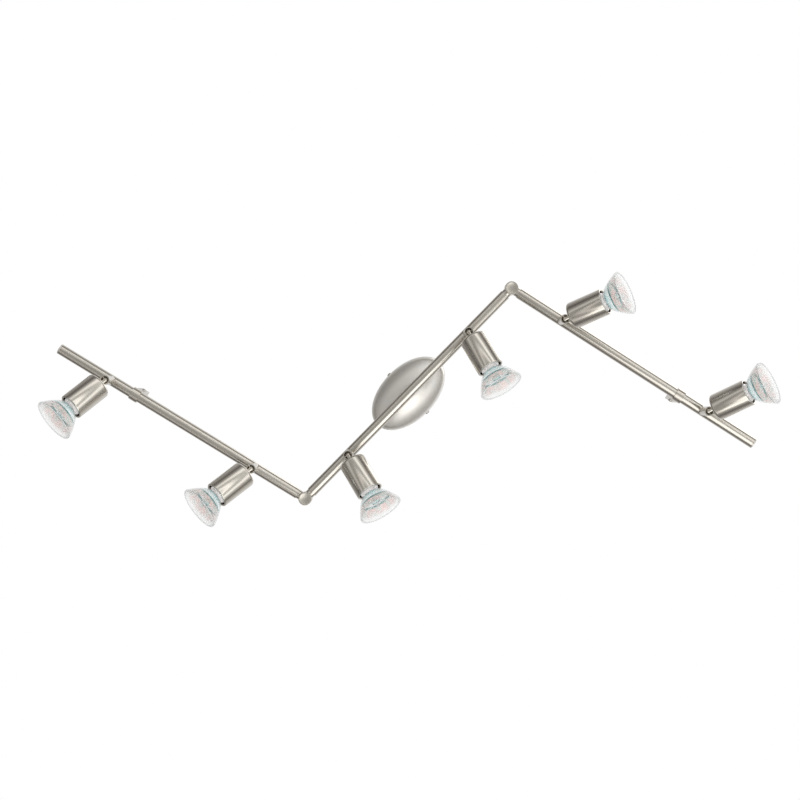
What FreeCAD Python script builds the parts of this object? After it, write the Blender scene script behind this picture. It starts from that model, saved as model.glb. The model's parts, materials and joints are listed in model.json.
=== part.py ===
import FreeCAD, Part
import math
import os

# Ceiling spotlight rail: an oval ceiling cup carries a centre tube, two arms
# are hinged to its ends, and six spot heads hang from the three tubes.
#
# Row frame: +Z up, the ceiling is the plane z = 0 and everything hangs below.
# The origin is the middle of the cup's mounting face, +X runs along the
# centre tube. All sizes are in millimetres, all angles in degrees.

# --- tubes -----------------------------------------------------------------
TUBE_RADIUS = 6.0            # outside
TUBE_WALL = 1.0
HINGE_SPACING = 334.0        # hinge axis to hinge axis
ARM_LENGTH = 327.0           # hinge axis to the arm's free end
LEFT_ARM_TURN = -103.1       # direction of the left arm, from +X
RIGHT_ARM_TURN = 78.2        # direction of the right arm, from +X
WIRE_RADIUS = 0.9
WIRE_OFFSET = 1.3            # each wire to the tube's middle plane
WIRE_RAISE = 2.2             # wire above the tube axis

# --- clearances ------------------------------------------------------------
RUN_FIT = 0.06               # radial, a shaft turning or sliding in a hole
FACE_GAP = 0.3               # between faces that move past each other
SCREW_FIT = 0.3              # radial, a screw in a clearance hole
LOOSE_FIT = 0.15             # a piece dropped into a pocket

# --- hinges between the tubes ----------------------------------------------
KNUCKLE_ROOM = 0.15          # knuckle beyond the necks' corners at a right angle
HINGE_RISE = 1.6             # tube to the outer face of the fork
TONGUE_HALF_HEIGHT = 3.0
HINGE_PIN_RADIUS = 2.5
HINGE_NECK_STEP = 0.8        # neck radius below the tube's
HINGE_NECK_STUB = 2.2        # neck between the knuckles and the tube's end
HINGE_PLUG_LENGTH = 11.0     # inside the tube
CAP_THICKNESS = 1.4
CAP_EDGE = 0.45

# --- free ends of the arms -------------------------------------------------
END_CAP_THICKNESS = 1.6
END_CAP_PLUG = 7.0

# --- ceiling cup -----------------------------------------------------------
CUP_HALF_LENGTH = 51.0       # along the centre tube
CUP_HALF_WIDTH = 30.7
CUP_DEPTH = 36.0
CUP_WALL = 1.0
CUP_WALL_HEIGHT = 11.7       # ceiling to the start of the shoulder
CUP_SHOULDER_RADIUS = 12.0
CUP_SCREW_LEVEL = 7.0        # below the ceiling
CUP_SCREW_RADIUS = 1.65
CUP_SCREW_LENGTH = 5.0
CUP_SCREW_HEAD_RADIUS = 2.7
CUP_SCREW_HEAD_HEIGHT = 1.8
SADDLE_HEIGHT = 6.0          # cup to tube
SADDLE_STEP = 0.4            # saddle radius below the tube's
NIPPLE_WIRE_ROOM = 0.5       # wires to the nipple's bore
NIPPLE_WALL = 1.3
NUT_WALL = 2.0
NUT_HEIGHT = 4.0
NIPPLE_STAND = 2.5           # thread left above the nut

# --- bracket and terminal block under the cup ------------------------------
BRACKET_THICKNESS = 1.5
BRACKET_HALF_LENGTH = 45.0
BRACKET_HALF_WIDTH = 9.0
BRACKET_EAR_HALF_WIDTH = 7.0
BRACKET_EAR_EDGE = 2.35      # ear past the side screw's hole
BRACKET_SLOT_SPACING = 72.0
BRACKET_SLOT_LENGTH = 12.0
BRACKET_SLOT_RADIUS = 2.25
BRACKET_CABLE_HOLE = 6.5
BLOCK_START = 9.0            # from the cup's middle
BLOCK_LENGTH = 17.0
BLOCK_WIDTH = 27.0
BLOCK_HEIGHT = 14.0
BLOCK_POLES = 3
BLOCK_BORE = 1.6
BLOCK_SCREW_RADIUS = 1.9
BLOCK_SCREW_DEPTH = 4.0

# --- side supports ---------------------------------------------------------
SUPPORT_PLACE = 226.0        # hinge axis to support
SUPPORT_LENGTH = 10.0        # along the tube
SUPPORT_WIDTH = 13.0
SUPPORT_WALL = 1.1
SUPPORT_RING_WALL = 1.5
SUPPORT_FLOOR = 4.0          # tube to the bottom of the post's hollow
SUPPORT_EDGE = 0.7
SUPPORT_SCREW_LEVEL = 11.0   # below the ceiling
SUPPORT_SCREW_RADIUS = 1.25
SUPPORT_SCREW_HEAD_RADIUS = 2.3
SUPPORT_SCREW_HEAD_HEIGHT = 1.4
SUPPORT_SCREW_LENGTH = 4.5
CLIP_THICKNESS = 1.5
CLIP_LEG_LENGTH = 16.0
CLIP_HOLE_RADIUS = 1.9       # takes the ceiling screw

# --- swivels ---------------------------------------------------------------
BALL_RADIUS = 3.5
BALL_GAP = 0.7               # ball to the stem's socket
STEM_WALL = 1.1
STEM_TAIL = 5.0              # pin axis to the stem's lower end
STEM_MOUTH_RISE = 0.9        # side slot's top above the head's neck
STEM_EDGE = 0.5
PIN_DROP = 34.0              # tube axis to the tilt pin
SPIGOT_RADIUS = 3.0
SPIGOT_LIP = 0.9             # retaining lip, beyond the spigot
SPIGOT_LIP_HEIGHT = 0.8
COLLAR_HEIGHT = 1.6          # below the tube
TILT_PIN_RADIUS = 1.25
HEAD_NECK_RADIUS = 2.7

# --- spot heads ------------------------------------------------------------
HEAD_CLEARANCE = 1.2         # can's back past the stem's lower edge
CAN_LENGTH = 42.5
CAN_WALL = 1.1
CAN_BACK_EDGE = 3.2
CAN_LIP_WALL = 2.2
CAN_LIP_LENGTH = 3.0
CAN_LAMP_GAP = 2.1           # lamp base to the can's wall
HOLDER_STEP = 0.3            # holder radius below the lamp base's
HOLDER_LENGTH = 14.0
HOLDER_EDGE = 0.8
LAMP_PIN_RADIUS = 2.4
LAMP_PIN_OFFSET = 5.0
LAMP_PIN_LENGTH = 7.0
LAMP_BASE_RADIUS = 11.8
LAMP_BASE_HALF_THICKNESS = 8.0
LAMP_BASE_LENGTH = 15.0
LAMP_NECK_STEP = 0.8         # neck radius below the base's
LAMP_NECK_SINK = 0.8         # bell starts this far inside the can's mouth
LAMP_BELL_LENGTH = 24.0
LAMP_RIM_RADIUS = 24.8
LAMP_RIM_DEPTH = 1.8
LAMP_GLASS = 1.3
LAMP_LENS_RECESS = 0.8

# --- where the stems stand and where the heads aim -------------------------
STEM_ON_CENTRE = 96.0        # each side of the cup's middle
STEM_NEAR = 68.0             # hinge axis to the arm's near stem
STEM_FAR = 258.0             # hinge axis to the arm's far stem
HEAD_TURNS = (-176.5, -172.5, 103.5, 106.0, 22.0, 17.5)
HEAD_TILTS = (28.0, 26.0, 22.5, 21.0, 24.0, 27.5)

# --- sizes that follow from the ones above ---------------------------------
TUBE_BORE = TUBE_RADIUS - TUBE_WALL
TUBE_DROP = CUP_DEPTH + SADDLE_HEIGHT + TUBE_RADIUS      # ceiling to tube axis
HINGE_NECK_RADIUS = TUBE_RADIUS - HINGE_NECK_STEP
KNUCKLE_RADIUS = math.sqrt(2) * HINGE_NECK_RADIUS + KNUCKLE_ROOM
HINGE_HALF_HEIGHT = TUBE_RADIUS + HINGE_RISE
HINGE_NECK_REACH = KNUCKLE_RADIUS + FACE_GAP + HINGE_NECK_STUB
BRACKET_EAR_DEPTH = CUP_SCREW_LEVEL + CUP_SCREW_RADIUS + BRACKET_EAR_EDGE
SADDLE_RADIUS = TUBE_RADIUS - SADDLE_STEP
NIPPLE_BORE = WIRE_OFFSET + WIRE_RADIUS + NIPPLE_WIRE_ROOM
NIPPLE_RADIUS = NIPPLE_BORE + NIPPLE_WALL
STEM_BORE = BALL_RADIUS + BALL_GAP
STEM_RADIUS = STEM_BORE + STEM_WALL
SPIGOT_LIP_RADIUS = SPIGOT_RADIUS + SPIGOT_LIP
SPIGOT_LIP_LEVEL = math.sqrt(TUBE_BORE ** 2 - SPIGOT_LIP_RADIUS ** 2) - FACE_GAP
CAN_RADIUS = LAMP_BASE_RADIUS + CAN_LAMP_GAP + CAN_WALL
CAN_BACK = math.hypot(STEM_RADIUS, STEM_TAIL) + HEAD_CLEARANCE
CAN_MOUTH = CAN_BACK + CAN_LENGTH                        # both from the tilt pin
HOLDER_FRONT = CAN_BACK + CAN_WALL + HOLDER_LENGTH
HOLDER_RADIUS = LAMP_BASE_RADIUS - HOLDER_STEP
LAMP_NECK_RADIUS = LAMP_BASE_RADIUS - LAMP_NECK_STEP
LAMP_RIM = CAN_MOUTH - LAMP_NECK_SINK + LAMP_BELL_LENGTH + LAMP_RIM_DEPTH

X_AXIS = FreeCAD.Vector(1, 0, 0)
Y_AXIS = FreeCAD.Vector(0, 1, 0)
Z_AXIS = FreeCAD.Vector(0, 0, 1)
ORIGIN = FreeCAD.Vector(0, 0, 0)


def point(x, y, z):
    return FreeCAD.Vector(x, y, z)


def rod(radius, start, direction, length):
    """Solid cylinder from start along direction."""
    return Part.makeCylinder(radius, length, start, direction)


def block(x_low, x_high, y_low, y_high, z_low, z_high):
    """Solid box between two corners."""
    corner = point(x_low, y_low, z_low)
    return Part.makeBox(x_high - x_low, y_high - y_low, z_high - z_low, corner)


def upright(radius, z_low, z_high, x=0.0, y=0.0):
    """Solid cylinder along Z."""
    return rod(radius, point(x, y, z_low), Z_AXIS, z_high - z_low)


def along(radius, x_low, x_high, y=0.0, z=0.0):
    """Solid cylinder along X."""
    return rod(radius, point(x_low, y, z), X_AXIS, x_high - x_low)


def line(start, end):
    return Part.LineSegment(start, end).toShape()


def spun(edges, axis):
    """Solid of revolution from a closed outline that touches or clears the axis."""
    face = Part.Face(Part.Wire(Part.__sortEdges__(edges)))
    return face.revolve(ORIGIN, axis, 360)


def outline(corners):
    """Closed outline of straight edges."""
    pairs = zip(corners, corners[1:] + corners[:1])
    return [line(start, end) for start, end in pairs]


def edges_at(shape, wanted):
    """Edges of a shape that a test on the edge's middle and length accepts."""
    return [edge for edge in shape.Edges if wanted(edge)]


def placed(shape, turn, x, y, z):
    """Turn a shape about Z, then move it."""
    result = shape.copy()
    result.rotate(ORIGIN, Z_AXIS, turn)
    result.translate(point(x, y, z))
    return result


def hinge_place(side):
    """Centre of a hinge; side is -1 on the left and +1 on the right."""
    return point(side * HINGE_SPACING / 2, 0, -TUBE_DROP)


def arm_turn(side):
    return LEFT_ARM_TURN if side < 0 else RIGHT_ARM_TURN


def on_arm(shape, side):
    """Place a shape drawn with its hinge at the origin and its tube along +X."""
    centre = hinge_place(side)
    return placed(shape, arm_turn(side), centre.x, centre.y, centre.z)


def stem_places():
    """Stem centres at tube level, in the order of the heads."""
    places = []
    for side, distance in ((-1, STEM_FAR), (-1, STEM_NEAR)):
        places.append(arm_point(side, distance))
    for side in (-1, 1):
        places.append(point(side * STEM_ON_CENTRE, 0, -TUBE_DROP))
    for side, distance in ((1, STEM_NEAR), (1, STEM_FAR)):
        places.append(arm_point(side, distance))
    return places


def arm_point(side, distance):
    """Point on an arm's axis at a distance from its hinge."""
    turn = math.radians(arm_turn(side))
    reach = point(distance * math.cos(turn), distance * math.sin(turn), 0)
    return hinge_place(side) + reach


# --- tubes -----------------------------------------------------------------
def bare_tube(x_low, x_high, stem_distances):
    """Thin tube along X with a hole in its underside for each stem."""
    shape = along(TUBE_RADIUS, x_low, x_high).cut(along(TUBE_BORE, x_low, x_high))
    for distance in stem_distances:
        hole = upright(SPIGOT_RADIUS + RUN_FIT, -TUBE_RADIUS, 0, distance)
        shape = shape.cut(hole)
    return shape


def collar(distance):
    """Saddle-shaped collar between a tube and a stem, bored for the stem's spigot."""
    body = upright(STEM_RADIUS, -TUBE_RADIUS - COLLAR_HEIGHT, 0, distance)
    body = body.cut(along(TUBE_RADIUS, distance - STEM_RADIUS, distance + STEM_RADIUS))
    bore = upright(SPIGOT_RADIUS + RUN_FIT, -TUBE_RADIUS - COLLAR_HEIGHT, 0, distance)
    return body.cut(bore)


def wire_pair(x_low, x_high):
    """Two straight wires, side by side above the tube axis."""
    sides = (-WIRE_OFFSET, WIRE_OFFSET)
    wires = [along(WIRE_RADIUS, x_low, x_high, y, WIRE_RAISE) for y in sides]
    return Part.makeCompound(wires)


def make_centre_tube():
    reach = HINGE_SPACING / 2 - HINGE_NECK_REACH
    shape = bare_tube(-reach, reach, (-STEM_ON_CENTRE, STEM_ON_CENTRE))
    shape = shape.cut(upright(NIPPLE_RADIUS, 0, TUBE_RADIUS))
    return placed(shape, 0, 0, 0, -TUBE_DROP)


def make_centre_collars():
    pair = [collar(side * STEM_ON_CENTRE) for side in (-1, 1)]
    return placed(Part.makeCompound(pair), 0, 0, 0, -TUBE_DROP)


def make_arm_tube(side):
    end = ARM_LENGTH - END_CAP_THICKNESS
    return on_arm(bare_tube(HINGE_NECK_REACH, end, (STEM_NEAR, STEM_FAR)), side)


def make_arm_collars(side):
    pair = [collar(distance) for distance in (STEM_NEAR, STEM_FAR)]
    return on_arm(Part.makeCompound(pair), side)


def make_arm_wiring(side):
    start = HINGE_NECK_REACH + HINGE_PLUG_LENGTH + 1.0
    return on_arm(wire_pair(start, STEM_FAR + SPIGOT_RADIUS), side)


def make_end_cap(side):
    """Disc with a softened edge and a plug that fills the tube's end."""
    seat = ARM_LENGTH - END_CAP_THICKNESS
    head = along(TUBE_RADIUS, seat, ARM_LENGTH)
    rim = edges_at(head, lambda edge: edge.BoundBox.XMin > ARM_LENGTH - 0.01)
    head = head.makeFillet(END_CAP_THICKNESS / 2, rim)
    plug = along(TUBE_BORE, seat - END_CAP_PLUG, seat)
    return on_arm(head.fuse(plug), side)


# --- hinges ----------------------------------------------------------------
def hinge_plug():
    """Plug that fills the tube's end beyond the neck."""
    end = HINGE_NECK_REACH + HINGE_PLUG_LENGTH
    return along(TUBE_BORE, HINGE_NECK_REACH, end)


def fork():
    """Upper and lower knuckle joined by a slotted neck; its tube runs along +X."""
    slot = TONGUE_HALF_HEIGHT + FACE_GAP
    top = upright(KNUCKLE_RADIUS, slot, HINGE_HALF_HEIGHT)
    bottom = upright(KNUCKLE_RADIUS, -HINGE_HALF_HEIGHT, -slot)
    shape = along(HINGE_NECK_RADIUS, 0, HINGE_NECK_REACH)
    shape = shape.cut(upright(KNUCKLE_RADIUS + FACE_GAP, -slot, slot))
    shape = shape.fuse([top, bottom, hinge_plug()])
    bore = upright(HINGE_PIN_RADIUS, -HINGE_HALF_HEIGHT, HINGE_HALF_HEIGHT)
    return shape.cut(bore).removeSplitter()


def tongue():
    """Middle knuckle with a neck relieved around the fork; its tube runs along +X."""
    middle = upright(KNUCKLE_RADIUS, -TONGUE_HALF_HEIGHT, TONGUE_HALF_HEIGHT)
    shape = along(HINGE_NECK_RADIUS, 0, HINGE_NECK_REACH)
    relief = KNUCKLE_RADIUS + FACE_GAP
    shape = shape.cut(upright(relief, TONGUE_HALF_HEIGHT, HINGE_HALF_HEIGHT))
    shape = shape.cut(upright(relief, -HINGE_HALF_HEIGHT, -TONGUE_HALF_HEIGHT))
    shape = shape.fuse([middle, hinge_plug()])
    bore_radius = HINGE_PIN_RADIUS + RUN_FIT
    bore = upright(bore_radius, -TONGUE_HALF_HEIGHT, TONGUE_HALF_HEIGHT)
    return shape.cut(bore).removeSplitter()


def at_hinges(shape):
    """One copy of a shape at each hinge, turned so its +X faces the cup."""
    pair = []
    for side, turn in ((-1, 0), (1, 180)):
        centre = hinge_place(side)
        pair.append(placed(shape, turn, centre.x, centre.y, centre.z))
    return Part.makeCompound(pair)


def make_hinge_forks():
    return at_hinges(fork())


def make_hinge_pins():
    pin = upright(HINGE_PIN_RADIUS, -HINGE_HALF_HEIGHT, HINGE_HALF_HEIGHT)
    return at_hinges(pin)


def make_hinge_caps():
    """Flat discs over the pin's two ends, with softened outer edges."""
    high = HINGE_HALF_HEIGHT + CAP_THICKNESS
    top = upright(KNUCKLE_RADIUS, HINGE_HALF_HEIGHT, high)
    outer = edges_at(top, lambda edge: edge.BoundBox.ZMin > high - 0.01)
    top = top.makeFillet(CAP_EDGE, outer)
    bottom = top.mirror(ORIGIN, Z_AXIS)
    return at_hinges(Part.makeCompound([top, bottom]))


def make_hinge_tongue(side):
    return on_arm(tongue(), side)


# --- ceiling cup -----------------------------------------------------------
def cup_form(half_length, half_width, depth, shoulder):
    """Filled dome: upright wall, rounded shoulder, crowned face, oval in plan.

    The crown is the arc that meets the shoulder smoothly at the cup's depth.
    """
    middle = half_length - shoulder
    wall_end = -CUP_WALL_HEIGHT
    fall = depth - CUP_WALL_HEIGHT
    crown = (middle ** 2 + fall ** 2 - shoulder ** 2) / (2 * (fall - shoulder))
    crown_centre = crown - depth
    lean = math.atan2(crown_centre - wall_end, middle)
    meet = point(crown * math.cos(lean), 0, crown_centre - crown * math.sin(lean))
    half_way = (math.pi / 2 + lean) / 2
    crown_mid = point(crown * math.cos(half_way), 0,
                      crown_centre - crown * math.sin(half_way))
    shoulder_mid = point(middle + shoulder * math.cos(lean / 2), 0,
                         wall_end - shoulder * math.sin(lean / 2))
    lowest = point(0, 0, -depth)
    wall_foot = point(half_length, 0, wall_end)
    wall_top = point(half_length, 0, 0)
    edges = [line(ORIGIN, wall_top), line(wall_top, wall_foot),
             Part.Arc(wall_foot, shoulder_mid, meet).toShape(),
             Part.Arc(meet, crown_mid, lowest).toShape(),
             line(lowest, ORIGIN)]
    round_form = spun(edges, Z_AXIS)
    narrow = FreeCAD.Matrix()
    narrow.scale(1, half_width / half_length, 1)
    return round_form.transformGeometry(narrow)


def cup_outside():
    return cup_form(CUP_HALF_LENGTH, CUP_HALF_WIDTH, CUP_DEPTH, CUP_SHOULDER_RADIUS)


def cup_inside():
    return cup_form(CUP_HALF_LENGTH - CUP_WALL, CUP_HALF_WIDTH - CUP_WALL,
                    CUP_DEPTH - CUP_WALL, CUP_SHOULDER_RADIUS - CUP_WALL)


def make_canopy_shell():
    shape = cup_outside().cut(cup_inside())
    shape = shape.cut(upright(NIPPLE_RADIUS, -CUP_DEPTH - 1, 0))
    hole_radius = CUP_SCREW_RADIUS + SCREW_FIT
    start = point(0, -CUP_HALF_WIDTH - 1, -CUP_SCREW_LEVEL)
    hole = rod(hole_radius, start, Y_AXIS, 2 * CUP_HALF_WIDTH + 2)
    return shape.cut(hole)


def make_canopy_screws():
    """Round-headed screws through the cup's wall into the bracket's ears."""
    screws = []
    for side in (-1, 1):
        direction = point(0, side, 0)
        head_seat = point(0, side * CUP_HALF_WIDTH, -CUP_SCREW_LEVEL)
        head = rod(CUP_SCREW_HEAD_RADIUS, head_seat, direction, CUP_SCREW_HEAD_HEIGHT)
        far = CUP_HALF_WIDTH + CUP_SCREW_HEAD_HEIGHT - 0.01
        front = edges_at(head, lambda edge: abs(edge.BoundBox.Center.y) > far)
        head = head.makeFillet(CUP_SCREW_HEAD_HEIGHT * 0.6, front)
        inner_end = point(0, side * (CUP_HALF_WIDTH - CUP_SCREW_LENGTH), -CUP_SCREW_LEVEL)
        shank = rod(CUP_SCREW_RADIUS, inner_end, direction, CUP_SCREW_LENGTH)
        screws.append(head.fuse(shank))
    return Part.makeCompound(screws)


def slot_hole(x, length, radius, z_low, z_high):
    """Round-ended slot along X."""
    half = length / 2 - radius
    middle = block(x - half, x + half, -radius, radius, z_low, z_high)
    ends = [upright(radius, z_low, z_high, x + side * half) for side in (-1, 1)]
    return middle.fuse(ends)


def make_mounting_bracket():
    """Flat strip with two slots for the ceiling screws and two bent ears."""
    ear_face = (CUP_HALF_WIDTH - CUP_WALL) * math.sqrt(
        1 - (BRACKET_EAR_HALF_WIDTH / (CUP_HALF_LENGTH - CUP_WALL)) ** 2) - LOOSE_FIT
    strip = block(-BRACKET_HALF_LENGTH, BRACKET_HALF_LENGTH,
                  -BRACKET_HALF_WIDTH, BRACKET_HALF_WIDTH, -BRACKET_THICKNESS, 0)
    corners = edges_at(strip, lambda edge: abs(edge.BoundBox.ZLength) > 1)
    strip = strip.makeFillet(BRACKET_HALF_WIDTH * 0.6, corners)
    cross = block(-BRACKET_EAR_HALF_WIDTH, BRACKET_EAR_HALF_WIDTH,
                  -ear_face, ear_face, -BRACKET_THICKNESS, 0)
    pieces = [cross]
    for side in (-1, 1):
        inner = ear_face - BRACKET_THICKNESS
        low, high = sorted((side * inner, side * ear_face))
        pieces.append(block(-BRACKET_EAR_HALF_WIDTH, BRACKET_EAR_HALF_WIDTH,
                            low, high, -BRACKET_EAR_DEPTH, 0))
    shape = strip.fuse(pieces)
    for side in (-1, 1):
        place = side * BRACKET_SLOT_SPACING / 2
        shape = shape.cut(slot_hole(place, BRACKET_SLOT_LENGTH, BRACKET_SLOT_RADIUS,
                                    -BRACKET_THICKNESS, 0))
    shape = shape.cut(upright(BRACKET_CABLE_HOLE, -BRACKET_THICKNESS, 0))
    start = point(0, -CUP_HALF_WIDTH, -CUP_SCREW_LEVEL)
    threads = rod(CUP_SCREW_RADIUS, start, Y_AXIS, 2 * CUP_HALF_WIDTH)
    return shape.cut(threads).removeSplitter()


def make_terminal_block():
    """Three-pole block: a wire bore through each pole and two clamp screw wells."""
    top = -BRACKET_THICKNESS
    low = top - BLOCK_HEIGHT
    shape = block(BLOCK_START, BLOCK_START + BLOCK_LENGTH,
                  -BLOCK_WIDTH / 2, BLOCK_WIDTH / 2, low, top)
    pitch = BLOCK_WIDTH / BLOCK_POLES
    middle = (top + low) / 2
    for pole in range(BLOCK_POLES):
        y = (pole - (BLOCK_POLES - 1) / 2) * pitch
        shape = shape.cut(along(BLOCK_BORE, BLOCK_START, BLOCK_START + BLOCK_LENGTH, y, middle))
        for share in (0.25, 0.75):
            x = BLOCK_START + BLOCK_LENGTH * share
            shape = shape.cut(upright(BLOCK_SCREW_RADIUS, low, low + BLOCK_SCREW_DEPTH, x, y))
    return shape


def make_nipple():
    """Threaded tube that hangs the centre tube from the cup and passes the wires."""
    top = -CUP_DEPTH + CUP_WALL + NUT_HEIGHT + NIPPLE_STAND
    low = -TUBE_DROP + TUBE_BORE
    return upright(NIPPLE_RADIUS, low, top).cut(upright(NIPPLE_BORE, low, top))


def make_nipple_nut():
    seat = -CUP_DEPTH + CUP_WALL
    reach = 2 * (NIPPLE_RADIUS + NUT_WALL) / math.sqrt(3)
    corners = []
    for step in range(6):
        angle = math.radians(60 * step)
        corners.append(point(reach * math.cos(angle), reach * math.sin(angle), seat))
    face = Part.Face(Part.Wire(outline(corners)))
    nut = face.extrude(point(0, 0, NUT_HEIGHT))
    nut = nut.cut(upright(NIPPLE_RADIUS, seat, seat + NUT_HEIGHT))
    return nut.cut(cup_outside().cut(cup_inside()))


def make_tube_saddle():
    """Spacer shaped to the cup's face above and to the tube's top below."""
    body = upright(SADDLE_RADIUS, -TUBE_DROP, -CUP_DEPTH + CUP_WALL)
    body = body.cut(cup_outside())
    tube = along(TUBE_RADIUS, -SADDLE_RADIUS, SADDLE_RADIUS, 0, -TUBE_DROP)
    return body.cut(tube).cut(upright(NIPPLE_RADIUS, -TUBE_DROP, 0))


def make_centre_wiring():
    """Two wires: terminal block, down the nipple, then both ways along the tube."""
    level = -TUBE_DROP + WIRE_RAISE
    entry = -BRACKET_THICKNESS - BLOCK_HEIGHT / 2 - BLOCK_BORE - WIRE_RADIUS * 3
    reach = HINGE_SPACING / 2 - HINGE_NECK_REACH - HINGE_PLUG_LENGTH - 1.0
    wires = []
    for y in (-WIRE_OFFSET, WIRE_OFFSET):
        run = along(WIRE_RADIUS, -reach, reach, y, level)
        drop = upright(WIRE_RADIUS, level, entry, 0, y)
        lead = along(WIRE_RADIUS, 0, BLOCK_START, y, entry)
        elbow = Part.makeSphere(WIRE_RADIUS, point(0, y, entry))
        wires.append(run.fuse([drop, lead, elbow]))
    return Part.makeCompound(wires)


# --- side supports ---------------------------------------------------------
def support_post():
    """Hollow rectangular post that ends in a ring around the tube, tube along X."""
    half_length = SUPPORT_LENGTH / 2
    half_width = SUPPORT_WIDTH / 2
    post = block(-half_length, half_length, -half_width, half_width, 0, TUBE_DROP)
    uprights = edges_at(post, lambda edge: edge.BoundBox.ZLength > 1)
    post = post.makeFillet(SUPPORT_EDGE, uprights)
    ring_radius = TUBE_RADIUS + SUPPORT_RING_WALL
    shape = post.fuse(along(ring_radius, -half_length, half_length))
    inner_length = half_length - SUPPORT_WALL
    inner_width = half_width - SUPPORT_WALL
    shape = shape.cut(block(-inner_length, inner_length, -inner_width, inner_width,
                            TUBE_RADIUS + SUPPORT_FLOOR, TUBE_DROP))
    shape = shape.cut(along(TUBE_RADIUS + RUN_FIT, -half_length, half_length))
    level = TUBE_DROP - SUPPORT_SCREW_LEVEL
    start = point(0, inner_width - 1, level)
    hole = rod(SUPPORT_SCREW_RADIUS + LOOSE_FIT, start, Y_AXIS, SUPPORT_WALL + 2)
    return shape.cut(hole)


def support_clip():
    """Bent clip inside the post: a base on the ceiling and a leg for the side screw."""
    half_length = SUPPORT_LENGTH / 2 - SUPPORT_WALL - LOOSE_FIT
    half_width = SUPPORT_WIDTH / 2 - SUPPORT_WALL - LOOSE_FIT
    base = block(-half_length, half_length, -half_width, half_width,
                 TUBE_DROP - CLIP_THICKNESS, TUBE_DROP)
    leg = block(-half_length, half_length, half_width - CLIP_THICKNESS, half_width,
                TUBE_DROP - CLIP_LEG_LENGTH, TUBE_DROP)
    shape = base.fuse(leg).removeSplitter()
    hole_middle = -CLIP_THICKNESS / 2
    shape = shape.cut(upright(CLIP_HOLE_RADIUS, TUBE_DROP - CLIP_THICKNESS, TUBE_DROP,
                              0, hole_middle))
    start = point(0, half_width - CLIP_THICKNESS - 1, TUBE_DROP - SUPPORT_SCREW_LEVEL)
    return shape.cut(rod(SUPPORT_SCREW_RADIUS, start, Y_AXIS, CLIP_THICKNESS + 2))


def support_screw():
    """Round-headed screw through the post's side into the clip's leg."""
    seat = SUPPORT_WIDTH / 2
    level = TUBE_DROP - SUPPORT_SCREW_LEVEL
    head = rod(SUPPORT_SCREW_HEAD_RADIUS, point(0, seat, level), Y_AXIS,
               SUPPORT_SCREW_HEAD_HEIGHT)
    far = seat + SUPPORT_SCREW_HEAD_HEIGHT - 0.01
    front = edges_at(head, lambda edge: edge.BoundBox.YMin > far)
    head = head.makeFillet(SUPPORT_SCREW_HEAD_HEIGHT * 0.6, front)
    start = point(0, seat - SUPPORT_SCREW_LENGTH, level)
    return head.fuse(rod(SUPPORT_SCREW_RADIUS, start, Y_AXIS, SUPPORT_SCREW_LENGTH))


def on_support(shape, side):
    """Place a shape drawn with the tube along X under it on an arm's support."""
    moved = shape.copy()
    moved.translate(point(SUPPORT_PLACE, 0, 0))
    return on_arm(moved, side)


# --- swivels and heads, drawn with the tilt pin at the origin ---------------
def stem():
    """Upright stem: spigot with a retaining lip on top, open socket below."""
    tube_level = PIN_DROP
    shoulder = tube_level - TUBE_RADIUS - COLLAR_HEIGHT - FACE_GAP
    shape = upright(STEM_RADIUS, -STEM_TAIL, shoulder)
    ends = edges_at(shape, lambda edge: edge.BoundBox.ZLength < 0.01)
    shape = shape.makeFillet(STEM_EDGE, ends)
    lip_low = tube_level - SPIGOT_LIP_LEVEL
    lip_high = lip_low + SPIGOT_LIP_HEIGHT
    spigot = upright(SPIGOT_RADIUS, shoulder - 1, lip_high)
    lip = upright(SPIGOT_LIP_RADIUS, lip_low, lip_high)
    shape = shape.fuse([spigot, lip])
    shape = shape.cut(upright(STEM_BORE, -STEM_TAIL, STEM_BORE + STEM_MOUTH_RISE))
    half_slot = HEAD_NECK_RADIUS + FACE_GAP
    slot_top = HEAD_NECK_RADIUS + STEM_MOUTH_RISE
    mouth = block(0, STEM_RADIUS + 1, -half_slot, half_slot, -STEM_TAIL, slot_top)
    shape = shape.cut(mouth)
    start = point(0, -STEM_RADIUS, 0)
    return shape.cut(rod(TILT_PIN_RADIUS, start, Y_AXIS, 2 * STEM_RADIUS))


def tilt_pin():
    """Pin across the socket, trimmed to the stem's round outside."""
    start = point(0, -STEM_RADIUS, 0)
    pin = rod(TILT_PIN_RADIUS, start, Y_AXIS, 2 * STEM_RADIUS)
    return pin.common(upright(STEM_RADIUS, -TILT_PIN_RADIUS, TILT_PIN_RADIUS))


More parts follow.
